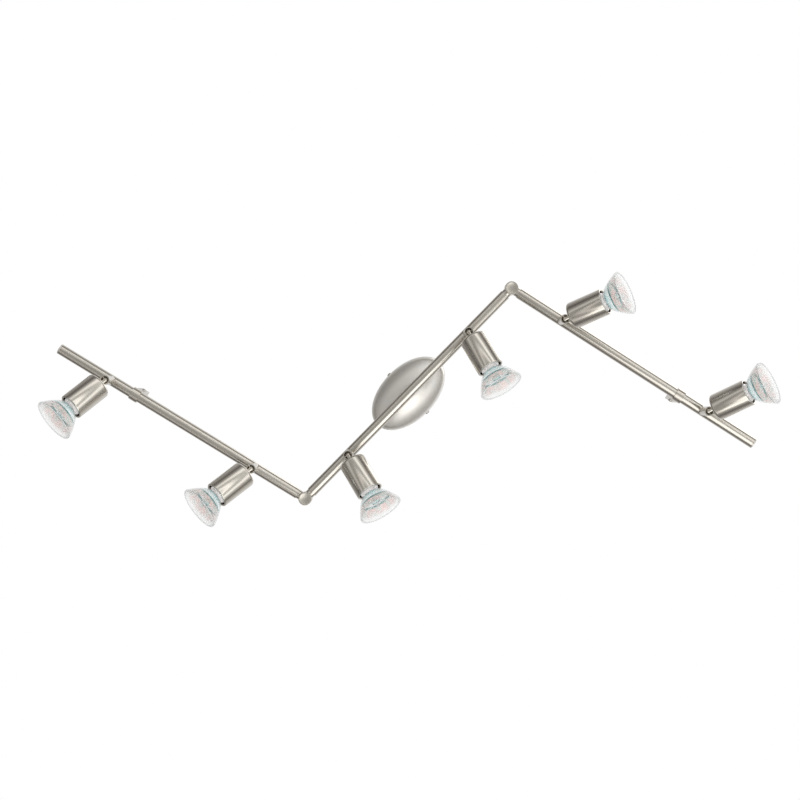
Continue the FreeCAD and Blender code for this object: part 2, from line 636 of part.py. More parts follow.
def can_profile():
    """Outline of the can's wall on one side of its axis, which is X."""
    outer = CAN_RADIUS
    inner = CAN_RADIUS - CAN_WALL
    lip_inner = CAN_RADIUS - CAN_LIP_WALL
    back = CAN_BACK
    mouth = CAN_MOUTH
    edge = CAN_BACK_EDGE
    inner_edge = edge - CAN_WALL
    half = CAN_LIP_WALL / 2
    diagonal = math.sqrt(0.5)
    lip_start = mouth - CAN_LIP_LENGTH
    edges = [
        line(point(back, 0, 0), point(back, 0, outer - edge)),
        Part.Arc(point(back, 0, outer - edge),
                 point(back + edge * (1 - diagonal), 0, outer - edge * (1 - diagonal)),
                 point(back + edge, 0, outer)).toShape(),
        line(point(back + edge, 0, outer), point(mouth - half, 0, outer)),
        Part.Arc(point(mouth - half, 0, outer), point(mouth, 0, outer - half),
                 point(mouth - half, 0, lip_inner)).toShape(),
        line(point(mouth - half, 0, lip_inner), point(lip_start, 0, lip_inner)),
        line(point(lip_start, 0, lip_inner), point(lip_start - half, 0, inner)),
        line(point(lip_start - half, 0, inner), point(back + edge, 0, inner)),
        Part.Arc(point(back + edge, 0, inner),
                 point(back + edge - inner_edge * diagonal, 0,
                       outer - edge + inner_edge * diagonal),
                 point(back + CAN_WALL, 0, outer - edge)).toShape(),
        line(point(back + CAN_WALL, 0, outer - edge), point(back + CAN_WALL, 0, 0)),
        line(point(back + CAN_WALL, 0, 0), point(back, 0, 0)),
    ]
    return edges


def can():
    """Closed-back can with a thick rounded lip, neck and drilled ball behind."""
    shape = spun(can_profile(), X_AXIS)
    neck = along(HEAD_NECK_RADIUS, 0, CAN_BACK + CAN_WALL / 2)
    shape = shape.fuse([neck, Part.makeSphere(BALL_RADIUS)])
    start = point(0, -BALL_RADIUS, 0)
    bore = rod(TILT_PIN_RADIUS + RUN_FIT, start, Y_AXIS, 2 * BALL_RADIUS)
    return shape.cut(bore)


def holder():
    """Round ceramic holder on the can's back wall with two pin sockets."""
    end = HOLDER_FRONT
    shape = along(HOLDER_RADIUS, CAN_BACK + CAN_WALL, end)
    front = edges_at(shape, lambda edge: edge.BoundBox.XMin > end - 0.01)
    shape = shape.makeFillet(HOLDER_EDGE, front)
    for side in (-1, 1):
        y = side * LAMP_PIN_OFFSET
        depth = LAMP_PIN_LENGTH + 1
        shape = shape.cut(along(LAMP_PIN_RADIUS + SCREW_FIT, end - depth, end, y))
    return shape


def bell_radius(base_radius, setback):
    """Bell outline: a parabola from the rim back to the neck."""
    narrowing = (LAMP_NECK_RADIUS / LAMP_RIM_RADIUS) ** 2
    share = 1 - (1 - narrowing) * setback / LAMP_BELL_LENGTH
    return base_radius * math.sqrt(share)


def bell_curve(inset):
    """Smooth curve of the bell from the rim's back to the neck, drawn in XZ."""
    steps = 6
    places = []
    for step in range(steps + 1):
        setback = LAMP_BELL_LENGTH * step / steps
        radius = bell_radius(LAMP_RIM_RADIUS, setback) - inset
        places.append(point(LAMP_RIM - LAMP_RIM_DEPTH - setback, 0, radius))
    curve = Part.BSplineCurve()
    curve.interpolate(places)
    return curve.toShape(), places[0], places[-1]


def reflector():
    """Glass bell with a flat rim and a short neck, open at the front."""
    outer, outer_rim, outer_neck = bell_curve(0)
    inner, inner_rim, inner_neck = bell_curve(LAMP_GLASS)
    neck_back = HOLDER_FRONT + LAMP_BASE_LENGTH
    floor_level = inner_neck.x
    edges = [
        outer, inner,
        line(outer_rim, point(LAMP_RIM, 0, outer_rim.z)),
        line(point(LAMP_RIM, 0, outer_rim.z), point(LAMP_RIM, 0, inner_rim.z)),
        line(point(LAMP_RIM, 0, inner_rim.z), inner_rim),
        line(inner_neck, point(floor_level, 0, 0)),
        line(point(floor_level, 0, 0), point(neck_back, 0, 0)),
        line(point(neck_back, 0, 0), point(neck_back, 0, outer_neck.z)),
        line(point(neck_back, 0, outer_neck.z), outer_neck),
    ]
    return spun(edges, X_AXIS)


def lamp():
    """Reflector lamp: ceramic base with two pins, glass bell, front lens."""
    front = HOLDER_FRONT
    base = along(LAMP_BASE_RADIUS, front, front + LAMP_BASE_LENGTH)
    half = LAMP_BASE_HALF_THICKNESS
    base = base.common(block(front, front + LAMP_BASE_LENGTH,
                             -LAMP_BASE_RADIUS, LAMP_BASE_RADIUS, -half, half))
    pins = []
    for side in (-1, 1):
        pins.append(along(LAMP_PIN_RADIUS, front - LAMP_PIN_LENGTH, front,
                          side * LAMP_PIN_OFFSET))
    base = base.fuse(pins)
    lens_front = LAMP_RIM - LAMP_LENS_RECESS
    lens = along(LAMP_RIM_RADIUS - LAMP_GLASS, LAMP_RIM - LAMP_RIM_DEPTH, lens_front)
    return Part.makeCompound([base, reflector(), lens])


def on_swivel(shape, index, tilt):
    """Tilt a shape about the pin, turn it to its aim and hang it on its stem."""
    moved = shape.copy()
    moved.rotate(ORIGIN, Y_AXIS, tilt)
    centre = stem_places()[index]
    return placed(moved, HEAD_TURNS[index], centre.x, centre.y, centre.z - PIN_DROP)


# --- all the nodes ---------------------------------------------------------
def build_nodes():
    nodes = {
        "mounting_bracket": make_mounting_bracket(),
        "canopy_shell": make_canopy_shell(),
        "canopy_screws": make_canopy_screws(),
        "terminal_block": make_terminal_block(),
        "nipple": make_nipple(),
        "nipple_nut": make_nipple_nut(),
        "tube_saddle": make_tube_saddle(),
        "centre_tube": make_centre_tube(),
        "centre_collars": make_centre_collars(),
        "centre_wiring": make_centre_wiring(),
        "hinge_forks": make_hinge_forks(),
        "hinge_pins": make_hinge_pins(),
        "hinge_caps": make_hinge_caps(),
    }
    for side, word in ((-1, "left"), (1, "right")):
        nodes[word + "_arm_tube"] = make_arm_tube(side)
        nodes[word + "_hinge_tongue"] = make_hinge_tongue(side)
        nodes[word + "_end_cap"] = make_end_cap(side)
        nodes[word + "_arm_collars"] = make_arm_collars(side)
        nodes[word + "_arm_wiring"] = make_arm_wiring(side)
        nodes[word + "_support_post"] = on_support(support_post(), side)
        nodes[word + "_support_clip"] = on_support(support_clip(), side)
        nodes[word + "_support_screw"] = on_support(support_screw(), side)
    for index, tilt in enumerate(HEAD_TILTS):
        number = str(index + 1)
        nodes["swivel_stem_" + number] = on_swivel(stem(), index, 0)
        nodes["tilt_pin_" + number] = on_swivel(tilt_pin(), index, 0)
        nodes["head_can_" + number] = on_swivel(can(), index, tilt)
        nodes["lamp_holder_" + number] = on_swivel(holder(), index, tilt)
        nodes["lamp_" + number] = on_swivel(lamp(), index, tilt)
    return nodes


def write_nodes(nodes):
    os.makedirs("parts", exist_ok=True)
    for name, shape in nodes.items():
        shape.exportStep(os.path.join("parts", name + ".step"))
    print(len(nodes), "parts written")


write_nodes(build_nodes())
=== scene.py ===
"""Looks of a ceiling rail with six spots, made around its frame.

Every piece is drawn in millimetres in the drawing frame of its own seat, and is
then placed in the object's frame, which is in metres with the ceiling at z = 0.
"""

import json
import logging
import math
import random
from dataclasses import dataclass
from enum import Enum
from typing import Callable, Iterable

import bmesh
import bpy
from mathutils import Matrix, Vector


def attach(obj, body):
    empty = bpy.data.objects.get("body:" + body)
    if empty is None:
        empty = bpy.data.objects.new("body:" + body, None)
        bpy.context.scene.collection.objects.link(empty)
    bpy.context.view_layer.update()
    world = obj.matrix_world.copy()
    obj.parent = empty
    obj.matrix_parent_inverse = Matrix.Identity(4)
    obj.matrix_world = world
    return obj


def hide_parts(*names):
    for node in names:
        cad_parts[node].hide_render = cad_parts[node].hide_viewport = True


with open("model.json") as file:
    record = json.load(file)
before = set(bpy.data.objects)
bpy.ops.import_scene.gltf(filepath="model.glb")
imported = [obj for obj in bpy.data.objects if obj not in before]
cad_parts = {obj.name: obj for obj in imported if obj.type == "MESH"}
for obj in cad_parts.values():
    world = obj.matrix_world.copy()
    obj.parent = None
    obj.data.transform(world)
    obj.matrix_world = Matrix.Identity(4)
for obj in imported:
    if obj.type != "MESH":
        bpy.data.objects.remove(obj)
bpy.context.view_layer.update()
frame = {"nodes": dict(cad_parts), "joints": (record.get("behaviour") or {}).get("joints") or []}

# One millimetre in the frame's metres.
MM = 0.001
# Mesh attributes that the finishes read: drawing coordinates, and a facet's own shade.
GRAIN = "grain"
FACET = "facet"
# Corners closer than this many millimetres are one, in a drawing and in a copied node.
SAME_PLACE = 1e-4
COPY_GAP = 2e-3
# Degrees between faces: merged as flat, kept crisp, kept crisp on copies, rounded.
COPY_FLAT_ANGLE = 1.0
CRISP_ANGLE = 40.0
COPY_CRISP_ANGLE = 30.0
BEVEL_ANGLE = 35.0
# A spot's highest aim, in degrees below level.
HIGHEST_AIM = 8.0
LOG = logging.getLogger("ceiling_rail")
JOINTS = {joint["name"]: joint for joint in frame["joints"]}


Shaping = Callable[[bmesh.types.BMesh], None]


class Axis(Enum):
    """An axis of a drawing frame."""

    X = 0
    Y = 1
    Z = 2

    def vector(self) -> Vector:
        """The axis as a unit vector."""
        return Vector([float(self.value == place) for place in range(3)])


class Side(Enum):
    """An arm of the rail."""

    LEFT = "left"
    RIGHT = "right"


class Streaks(Enum):
    """How far a brushed pattern is squeezed along each drawing axis, per millimetre."""

    ALONG_X = (0.012, 1.0, 1.0)
    ROUND_Z = (0.05, 0.05, 1.0)
    FLAT = (0.05, 1.0, 1.0)
    EVEN = (0.3, 0.3, 0.3)


# --- places on the frame -----------------------------------------------------
@dataclass(frozen=True)
class Seat:
    """Where a drawing frame lies on the object.

    Attributes:
        body: The moving body that rides there.
        origin: Its origin, in metres.
        along: The direction of the drawing's X axis.
        up: A direction in the drawing's XZ plane, on the +Z side.
    """

    body: str
    origin: tuple[float, float, float]
    along: tuple[float, float, float] = (1.0, 0.0, 0.0)
    up: tuple[float, float, float] = (0.0, 0.0, 1.0)

    def matrix(self) -> Matrix:
        """Work out how a drawing in millimetres goes onto the frame.

        Returns:
            The turn, move and scale.
        """
        x_axis = Vector(self.along).normalized()
        up = Vector(self.up)
        z_axis = (up - x_axis * up.dot(x_axis)).normalized()
        y_axis = z_axis.cross(x_axis)
        turn = Matrix((x_axis, y_axis, z_axis)).transposed().to_4x4()
        return Matrix.Translation(Vector(self.origin)) @ turn @ Matrix.Scale(MM, 4)

    def span(self, node: str, axis: Axis) -> tuple[float, float]:
        """How far a CAD node reaches along a drawing axis.

        Args:
            node: The CAD node's name.
            axis: The drawing axis.

        Returns:
            The lowest and highest place on that axis, in millimetres.
        """
        back = self.matrix().inverted()
        vertices = frame["nodes"][node].data.vertices
        places = [(back @ vertex.co)[axis.value] for vertex in vertices]
        return min(places), max(places)

    def moved(self, along: float = 0.0, across: float = 0.0, up: float = 0.0) -> "Seat":
        """The same seat with its origin moved in its own axes.

        Args:
            along: Millimetres along the drawing's X.
            across: Millimetres along the drawing's Y.
            up: Millimetres along the drawing's Z.

        Returns:
            The moved seat.
        """
        origin = self.matrix() @ Vector((along, across, up))
        return Seat(self.body, tuple(origin), self.along, self.up)


def centre_seat() -> Seat:
    """The rail's own frame: origin on the ceiling at the cup's middle."""
    return Seat("centre_bar", (0.0, 0.0, 0.0))


def tube_level() -> float:
    """Height of the tubes' axes in metres."""
    return JOINTS["left_arm_hinge"]["pos_m"][2]


def tube_seat() -> Seat:
    """The frame of the centre tube: origin on its axis under the cup's middle."""
    return Seat("centre_bar", (0.0, 0.0, tube_level()))


def arm_seat(side: Side) -> Seat:
    """The frame of an arm: origin at its hinge, X along its tube.

    Args:
        side: Which arm.

    Returns:
        The seat.
    """
    hinge = JOINTS[side.value + "_arm_hinge"]
    slide = JOINTS[side.value + "_support_slide"]
    return Seat(side.value + "_arm", tuple(hinge["pos_m"]), tuple(slide["axis"]))


def swivel_seat(number: int) -> Seat:
    """The frame of a swivel: origin at its tilt pin, X level, on the spot's side.

    Args:
        number: The spot's number along the rail.

    Returns:
        The seat.
    """
    tilt = JOINTS["tilt_" + str(number)]
    level_aim = Vector(tilt["axis"]).cross(Vector((0.0, 0.0, 1.0)))
    return Seat("swivel_" + str(number), tuple(tilt["pos_m"]), tuple(level_aim))


def head_seat(number: int) -> Seat:
    """The frame of a spot head: origin at its tilt pin, X along the can.

    Args:
        number: The spot's number along the rail.

    Returns:
        The seat.
    """
    tilt = JOINTS["tilt_" + str(number)]
    level_aim = Vector(tilt["axis"]).cross(Vector((0.0, 0.0, 1.0)))
    sink = math.radians(HIGHEST_AIM - tilt["range_deg"][0])
    aim = level_aim * math.cos(sink) - Vector((0.0, 0.0, math.sin(sink)))
    return Seat("head_" + str(number), tuple(tilt["pos_m"]), tuple(aim))


# --- drawing -----------------------------------------------------------------
@dataclass(frozen=True)
class Corner:
    """A corner of a turned outline.

    Attributes:
        along: Its place along the turning axis.
        out: Its distance from the axis.
        soft: How much of each side its rounding takes.
        steps: The rounding's number of steps.
    """

    along: float
    out: float
    soft: float = 0.0
    steps: int = 4


def arc(centre: tuple[float, float], radius: float, start: float, end: float,
        steps: int) -> list[Corner]:
    """Corners on an arc in a turned outline.

    Args:
        centre: The arc's centre, along the axis and out from it.
        radius: The arc's radius.
        start: Start angle in degrees, from the outward direction towards +axis.
        end: End angle in degrees.
        steps: Number of steps.

    Returns:
        The corners, both ends among them.
    """
    corners = []
    for step in range(steps + 1):
        angle = math.radians(start + (end - start) * step / steps)
        corners.append(Corner(centre[0] + radius * math.sin(angle),
                              centre[1] + radius * math.cos(angle)))
    return corners


class Draft:
    """A piece being drawn, as one or more closed solids in millimetres."""

    def __init__(self) -> None:
        """Start with nothing drawn."""
        self.mesh = bmesh.new()

    def add(self, solid: bmesh.types.BMesh) -> None:
        """Take a finished solid into the piece and free it.

        Args:
            solid: The solid.
        """
        carrier = bpy.data.meshes.new("carrier")
        solid.to_mesh(carrier)
        solid.free()
        self.mesh.from_mesh(carrier)
        bpy.data.meshes.remove(carrier)

    def turned(self, axis: Axis, corners: Iterable[Corner], steps: int = 64,
               loop: bool = False, shape: Shaping | None = None) -> "Draft":
        """Spin an outline about a drawing axis through the origin.

        Args:
            axis: Axis.X or Axis.Z.
            corners: The outline's corners, in order.
            steps: Number of steps round the axis.
            loop: Whether the outline closes on itself, as on a ring.
            shape: A last change to the solid, before it joins the piece.

        Returns:
            This draft.
        """
        solid = bmesh.new()
        corners = list(corners)
        verts = []
        for corner in corners:
            upright = (corner.out, 0.0, corner.along)
            lying = (corner.along, 0.0, corner.out)
            verts.append(solid.verts.new(lying if axis is Axis.X else upright))
        pairs = list(zip(verts, verts[1:]))
        if loop:
            pairs.append((verts[-1], verts[0]))
        for pair in pairs:
            solid.edges.new(pair)
        for vert, corner in zip(verts, corners):
            if corner.soft > 0:
                bmesh.ops.bevel(solid, geom=[vert], offset=corner.soft, offset_type="OFFSET",
                                affect="VERTICES", segments=corner.steps, profile=0.5,
                                material=-1)
        bmesh.ops.spin(solid, geom=solid.verts[:] + solid.edges[:], cent=(0, 0, 0),
                       axis=axis.vector(), dvec=(0, 0, 0), angle=math.tau, steps=steps,
                       use_merge=True, use_duplicate=False)
        bmesh.ops.remove_doubles(solid, verts=solid.verts[:], dist=SAME_PLACE)
        bmesh.ops.recalc_face_normals(solid, faces=solid.faces[:])
        if shape is not None:
            shape(solid)
        self.add(solid)
        return self

    def ring(self, axis: Axis, low: float, high: float, inner: float, outer: float,
             soft: float = 0.0, steps: int = 64) -> "Draft":
        """A ring or tube on a drawing axis, with softened edges.

        Args:
            axis: Axis.X or Axis.Z.
            low: Where it starts.
            high: Where it ends.
            inner: Its bore's radius.
            outer: Its outer radius.
            soft: How much its edges are rounded.
            steps: Number of steps round the axis.

        Returns:
            This draft.
        """
        corners = [Corner(low, inner, soft), Corner(low, outer, soft),
                   Corner(high, outer, soft), Corner(high, inner, soft)]
        return self.turned(axis, corners, steps, loop=True)

    def copy_of(self, node: str, seat: Seat) -> "Draft":
        """Take a merged copy of a CAD node's mesh, back in the seat's drawing frame.

        Args:
            node: The CAD node's name.
            seat: The seat that the draft will be placed on.

        Returns:
            This draft.
        """
        solid = bmesh.new()
        solid.from_mesh(frame["nodes"][node].data)
        bmesh.ops.transform(solid, matrix=seat.matrix().inverted(), verts=solid.verts[:])
        bmesh.ops.remove_doubles(solid, verts=solid.verts[:], dist=COPY_GAP)
        bmesh.ops.dissolve_limit(solid, angle_limit=math.radians(COPY_FLAT_ANGLE),
                                 verts=solid.verts[:], edges=solid.edges[:])
        self.add(solid)
        return self

    def placed(self, name: str, seat: Seat, finish: "Finish",
               stands_for: Iterable[str] = (), crease: float | None = CRISP_ANGLE,
               ) -> bpy.types.Object:
        """Turn the draft into a piece that rides on its seat's body.

        Args:
            name: The piece's name.
            seat: Where it goes.
            finish: What it is made of.
            stands_for: CAD nodes that it is shown instead of.
            crease: Edges sharper than this angle in degrees stay crisp. With None every
                facet stays flat.

        Returns:
            The piece.
        """
        layer = self.mesh.verts.layers.float_vector.new(GRAIN)
        for vert in self.mesh.verts:
            vert[layer] = vert.co
        bmesh.ops.transform(self.mesh, matrix=seat.matrix(), verts=self.mesh.verts[:])
        mesh = bpy.data.meshes.new(name)
        self.mesh.to_mesh(mesh)
        self.mesh.free()
        if crease is not None:
            mesh.shade_smooth()
            mesh.set_sharp_from_angle(angle=math.radians(crease))
        mesh.materials.append(finish.material())
        piece = bpy.data.objects.new(name, mesh)
        bpy.context.scene.collection.objects.link(piece)
        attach(piece, seat.body)
        for node in stands_for:
            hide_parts(node)
        LOG.info("%s rides on %s, %d faces", name, seat.body, len(mesh.polygons))
        return piece


def soften(piece: bpy.types.Object, width: float) -> None:
    """Round a piece's crisp edges with a live bevel.

    Args:
        piece: The piece.
        width: How much of each side the rounding takes, in millimetres.
    """
    bevel = piece.modifiers.new("soft_edges", "BEVEL")
    bevel.width = width * MM
    bevel.segments = 2
    bevel.limit_method = "ANGLE"
    bevel.angle_limit = math.radians(BEVEL_ANGLE)
    bevel.miter_outer = "MITER_ARC"
    bevel.harden_normals = False


def refined(node: str, seat: Seat, name: str, finish: "Finish", edge: float) -> None:
    """Show a CAD node as a merged copy of its mesh with rounded edges.

    Args:
        node: The CAD node's name.
        seat: The seat that its brush lines follow.
        name: The new piece's name.
        finish: What it is made of.
        edge: How much of each side the rounding takes, in millimetres.
    """
    draft = Draft().copy_of(node, seat)
    soften(draft.placed(name, seat, finish, [node], COPY_CRISP_ANGLE), edge)


def pressed_cross(reach: float, half_width: float, depth: float) -> Shaping:
    """A shape change that presses a cross recess into the +X end of a turned head.

    Args:
        reach: How far the cross's arms reach from the axis.
        half_width: Half an arm's width.
        depth: How deep the recess is.

    Returns:
        The change, for Draft.turned.
    """
    def press(solid: bmesh.types.BMesh) -> None:
        """Cut the cross's outline into the end and push its faces in.

        Args:
            solid: The turned head.
        """
        for direction in (Axis.Y.vector(), Axis.Z.vector()):
            for sign in (-1, 1):
                bmesh.ops.bisect_plane(
                    solid, geom=solid.verts[:] + solid.edges[:] + solid.faces[:],
                    plane_co=direction * sign * half_width, plane_no=direction,
                    dist=SAME_PLACE)
        facing_out = 0.3
        chosen = []
        for face in solid.faces:
            middle = face.calc_center_median()
            on_arm = min(abs(middle.y), abs(middle.z)) < half_width
            near = math.hypot(middle.y, middle.z) < reach
            if on_arm and near and face.normal.x > facing_out:
                chosen.append(face)
        sunk = bmesh.ops.extrude_face_region(solid, geom=chosen)
        verts = [item for item in sunk["geom"] if isinstance(item, bmesh.types.BMVert)]
        bmesh.ops.translate(solid, verts=verts, vec=(-depth, 0, 0))

    return press


@dataclass(frozen=True)
class CrossScrew:
    """A round-headed screw, drawn along X, with its head's seat at x = 0.

    Attributes:
        head: Radius of the head.
        rise: Height of the head.
        shank: Radius of the shank.
        crown: How much the head's crown is rounded.
        half_slot: Half the width of the cross's arms.
        slot_depth: Depth of the cross.
        length: How much of the shank is drawn.
    """

    head: float
    rise: float
    shank: float
    crown: float
    half_slot: float
    slot_depth: float
    length: float = 3.0

    def placed(self, name: str, seat: Seat, node: str) -> None:
        """Draw the screw and put it on its seat.

        Args:
            name: The piece's name.
            seat: Where it goes.
            node: The CAD node that it is shown instead of.
        """
        corners = [Corner(-self.length, 0), Corner(-self.length, self.shank),
                   Corner(0, self.shank), Corner(0, self.head),
                   Corner(self.rise * 0.35, self.head, 0.2, 2),
                   Corner(self.rise * 0.85, self.head * 0.72, self.crown, 3),
                   Corner(self.rise, self.head * 0.4), Corner(self.rise, 0)]
        cross = pressed_cross(self.head * 0.6, self.half_slot, self.slot_depth)
        draft = Draft().turned(Axis.X, corners, 32, shape=cross)
        draft.placed(name, seat, POLISHED_PIN, [node])


# --- finishes ----------------------------------------------------------------
class NodeBench:
    """Adds and joins the shader nodes of one material or world."""

    def __init__(self, tree: bpy.types.NodeTree) -> None:
        """Work on a node tree."""
        self.tree = tree

    def feed(self, socket: bpy.types.NodeSocket, value: object) -> None:
        """Give an input a plain value, or join it to another node's output.

        Args:
            socket: The input.
            value: A plain value or an output.
        """
        if isinstance(value, bpy.types.NodeSocket):
            self.tree.links.new(value, socket)
        else:
            socket.default_value = value

    def add(self, kind: str, inputs: dict[str | int, object] | None = None,
            **settings: object) -> bpy.types.Node:
        """Add a node.

        Args:
            kind: The node's type name without its ShaderNode prefix.
            inputs: Values or outputs for its inputs, by name or place.
            **settings: The node's own settings.

        Returns:
            The node.
        """
        node = self.tree.nodes.new("ShaderNode" + kind)
        for key, value in settings.items():
            setattr(node, key, value)
        for key, value in (inputs or {}).items():
            self.feed(node.inputs[key], value)
        return node

    def ramp(self, value: object, stops: Iterable[tuple[float, tuple[float, ...]]],
             ) -> bpy.types.NodeSocket:
        """A colour ramp over a value.

        Args:
            value: The output to read.
            stops: Places and linear colours, from low to high.

        Returns:
            The colour output.
        """
        node = self.add("ValToRGB", {0: value})
        elements = node.color_ramp.elements
        stops = list(stops)
        while len(elements) < len(stops):
            elements.new(1.0)
        for element, (place, colour) in zip(elements, stops):
            element.position = place
            element.color = (*colour, 1.0)
        return node.outputs[0]

    def scaled(self, value: object, low: float, high: float, to_low: float,
               to_high: float) -> bpy.types.NodeSocket:
        """A value moved from one range to another and kept in it.

        Args:
            value: The output to read.
            low: Start of its range.
            high: End of its range.
            to_low: Start of the new range.
            to_high: End of the new range.

        Returns:
            The moved value.
        """
        node = self.add("MapRange", {0: value, 1: low, 2: high, 3: to_low, 4: to_high})
        return node.outputs[0]

    def blended(self, share: object, first: object, second: object,
                ) -> bpy.types.NodeSocket:
        """A mix of two colours.

        Args:
            share: How much of the second colour shows, from 0 to 1.
            first: The first colour.
            second: The second colour.

        Returns:
            The mixed colour.
        """
        node = self.add("Mix", data_type="RGBA")
        self.feed(node.inputs[0], share)
        self.feed(node.inputs[6], first)
        self.feed(node.inputs[7], second)
        return node.outputs[2]

    def relief(self, height: object, strength: float, distance: float,
               ) -> bpy.types.NodeSocket:
        """A bumped normal from a height.

        Args:
            height: The output to read.
            strength: How strongly it shows, from 0 to 1.
            distance: Its height in millimetres.

        Returns:
            The normal.
        """
        inputs = {"Strength": strength, "Distance": distance * MM, "Height": height}
        return self.add("Bump", inputs).outputs[0]

    def own_grain(self) -> bpy.types.NodeSocket:
        """The piece's drawing coordinates in millimetres."""
        return self.add("Attribute", attribute_name=GRAIN).outputs["Vector"]

    def object_grain(self) -> bpy.types.NodeSocket:
        """Add object coordinates in millimetres, for a CAD node.

        Returns:
            The coordinates.
        """
        place = self.add("TexCoord").outputs["Object"]
        scale = (1 / MM, 1 / MM, 1 / MM)
        return self.add("Mapping", {"Vector": place, "Scale": scale}).outputs[0]

    def noise(self, place: object, scale: float, detail: float = 3.0,
              roughness: float = 0.55) -> bpy.types.NodeSocket:
        """Smooth noise over a place.

        Args:
            place: The coordinates to read.
            scale: Lumps per millimetre.
            detail: Levels of finer lumps.
            roughness: How strong the finer lumps are.

        Returns:
            A value from 0 to 1.
        """
        inputs = {"Vector": place, "Scale": scale, "Detail": detail, "Roughness": roughness}
        return self.add("TexNoise", inputs).outputs[0]


@dataclass(frozen=True)
class Finish:
    """What a piece is made of.

    Attributes:
        name: The material's name.
        slot: The record's material slot; not used by this script.
        on_cad: Whether it dresses a CAD node, which has no drawing coordinates.
    """

    name: str
    slot: str
    on_cad: bool = False

    def wire(self, bench: NodeBench, shader: bpy.types.Node,
             place: bpy.types.NodeSocket) -> None:
        """Join the finish's nodes to its shader. Each kind of finish has its own.

        Args:
            bench: The material's node bench.
            shader: Its shader.
            place: Coordinates on the piece, in millimetres.
        """
        raise NotImplementedError

    def material(self) -> bpy.types.Material:
        """Find the finish's material, or make it at its first use.

        Returns:
            The material.
        """
        known = bpy.data.materials.get(self.name)
        if known is not None:
            return known
        material = bpy.data.materials.new(self.name)
        material.use_nodes = True
        bench = NodeBench(material.node_tree)
        shader = material.node_tree.nodes["Principled BSDF"]
        place = bench.object_grain() if self.on_cad else bench.own_grain()
        self.wire(bench, shader, place)
        return material

    def dress(self, *nodes: str) -> None:
        """Put the finish on CAD nodes that keep their shape.

        Args:
            *nodes: The CAD nodes' names.
        """
        for node in nodes:
            piece = frame["nodes"][node]
            piece.data.materials.clear()
            piece.data.materials.append(self.material())
            LOG.info("%s keeps its CAD shape", node)


def toned(colour: tuple[float, float, float], factor: float = 1.0,
          ) -> tuple[float, float, float, float]:
    """A colour made darker or lighter, for a shader's input.

    Args:
        colour: The linear colour.
        factor: What each channel is multiplied by.

    Returns:
        The colour with a full alpha.
    """
    channels = [min(1.0, channel * factor) for channel in colour]
    return (*channels, 1.0)


@dataclass(frozen=True)
class BrushedMetal(Finish):
    """Plated metal with fine brush lines and a satin gloss.

    Attributes:
        colour: The plating's linear colour.
        streaks: How the brush lines run.
        line_scale: Brush lines per millimetre, across them.
        roughness: The gloss between and on the lines.
        line_depth: How strongly the lines show in the relief.
        tint: How far the lines darken and lighten the colour.
        metallic: How metallic the plating is.
    """

    colour: tuple[float, float, float] = (0.63, 0.598, 0.545)
    streaks: Streaks = Streaks.ALONG_X
    line_scale: float = 2.6
    roughness: tuple[float, float] = (0.17, 0.24)
    line_depth: float = 0.03
    tint: float = 0.06
    metallic: float = 0.9

    def wire(self, bench: NodeBench, shader: bpy.types.Node,
             place: bpy.types.NodeSocket) -> None:
        """Brush lines drive colour, gloss and relief; soft clouds vary the plating.

        Args:
            bench: The material's node bench.
            shader: Its shader.
            place: Coordinates on the piece, in millimetres.
        """
        squeezed = bench.add("Mapping", {"Vector": place, "Scale": self.streaks.value})
        lines = bench.noise(squeezed.outputs[0], self.line_scale, detail=5.0, roughness=0.7)
        clouds = bench.noise(place, 0.05, detail=2.0)
        lined = bench.blended(bench.scaled(lines, 0.3, 0.7, 0.0, 1.0),
                              toned(self.colour, 1 - self.tint),
                              toned(self.colour, 1 + self.tint))
        red, green, blue = self.colour
        warm = (red, green * 0.96, blue * 0.9, 1.0)
        colour = bench.blended(bench.scaled(clouds, 0.35, 0.75, 0.0, 0.45), lined, warm)
        bench.feed(shader.inputs["Base Color"], colour)
        bench.feed(shader.inputs["Roughness"], bench.scaled(lines, 0.3, 0.7, *self.roughness))
        shader.inputs["Metallic"].default_value = self.metallic
        bench.feed(shader.inputs["Normal"], bench.relief(lines, self.line_depth, 0.05))


@dataclass(frozen=True)
class MouldedSolid(Finish):
    """Glazed ceramic or moulded plastic: a soft mottle, faint specks, an even gloss.

    Attributes:
        colour: The material's linear colour.
        roughness: The gloss between and on the specks.
        coat: How much of a glaze lies over it.
    """

    colour: tuple[float, float, float] = (0.80, 0.76, 0.68)
    roughness: tuple[float, float] = (0.25, 0.4)
    coat: float = 0.0

    def wire(self, bench: NodeBench, shader: bpy.types.Node,
             place: bpy.types.NodeSocket) -> None:
        """Mottle in the colour, specks in the gloss and relief.

        Args:
            bench: The material's node bench.
            shader: Its shader.
            place: Coordinates on the piece, in millimetres.
        """
        mottle = bench.noise(place, 0.25)
        specks = bench.noise(place, 1.4, detail=4.0)
        colour = bench.blended(bench.scaled(mottle, 0.3, 0.7, 0.0, 1.0),
                               toned(self.colour), toned(self.colour, 0.82))
        bench.feed(shader.inputs["Base Color"], colour)
        bench.feed(shader.inputs["Roughness"], bench.scaled(specks, 0.3, 0.7, *self.roughness))
        shader.inputs["Coat Weight"].default_value = self.coat
        bench.feed(shader.inputs["Normal"], bench.relief(specks, 0.12, 0.08))


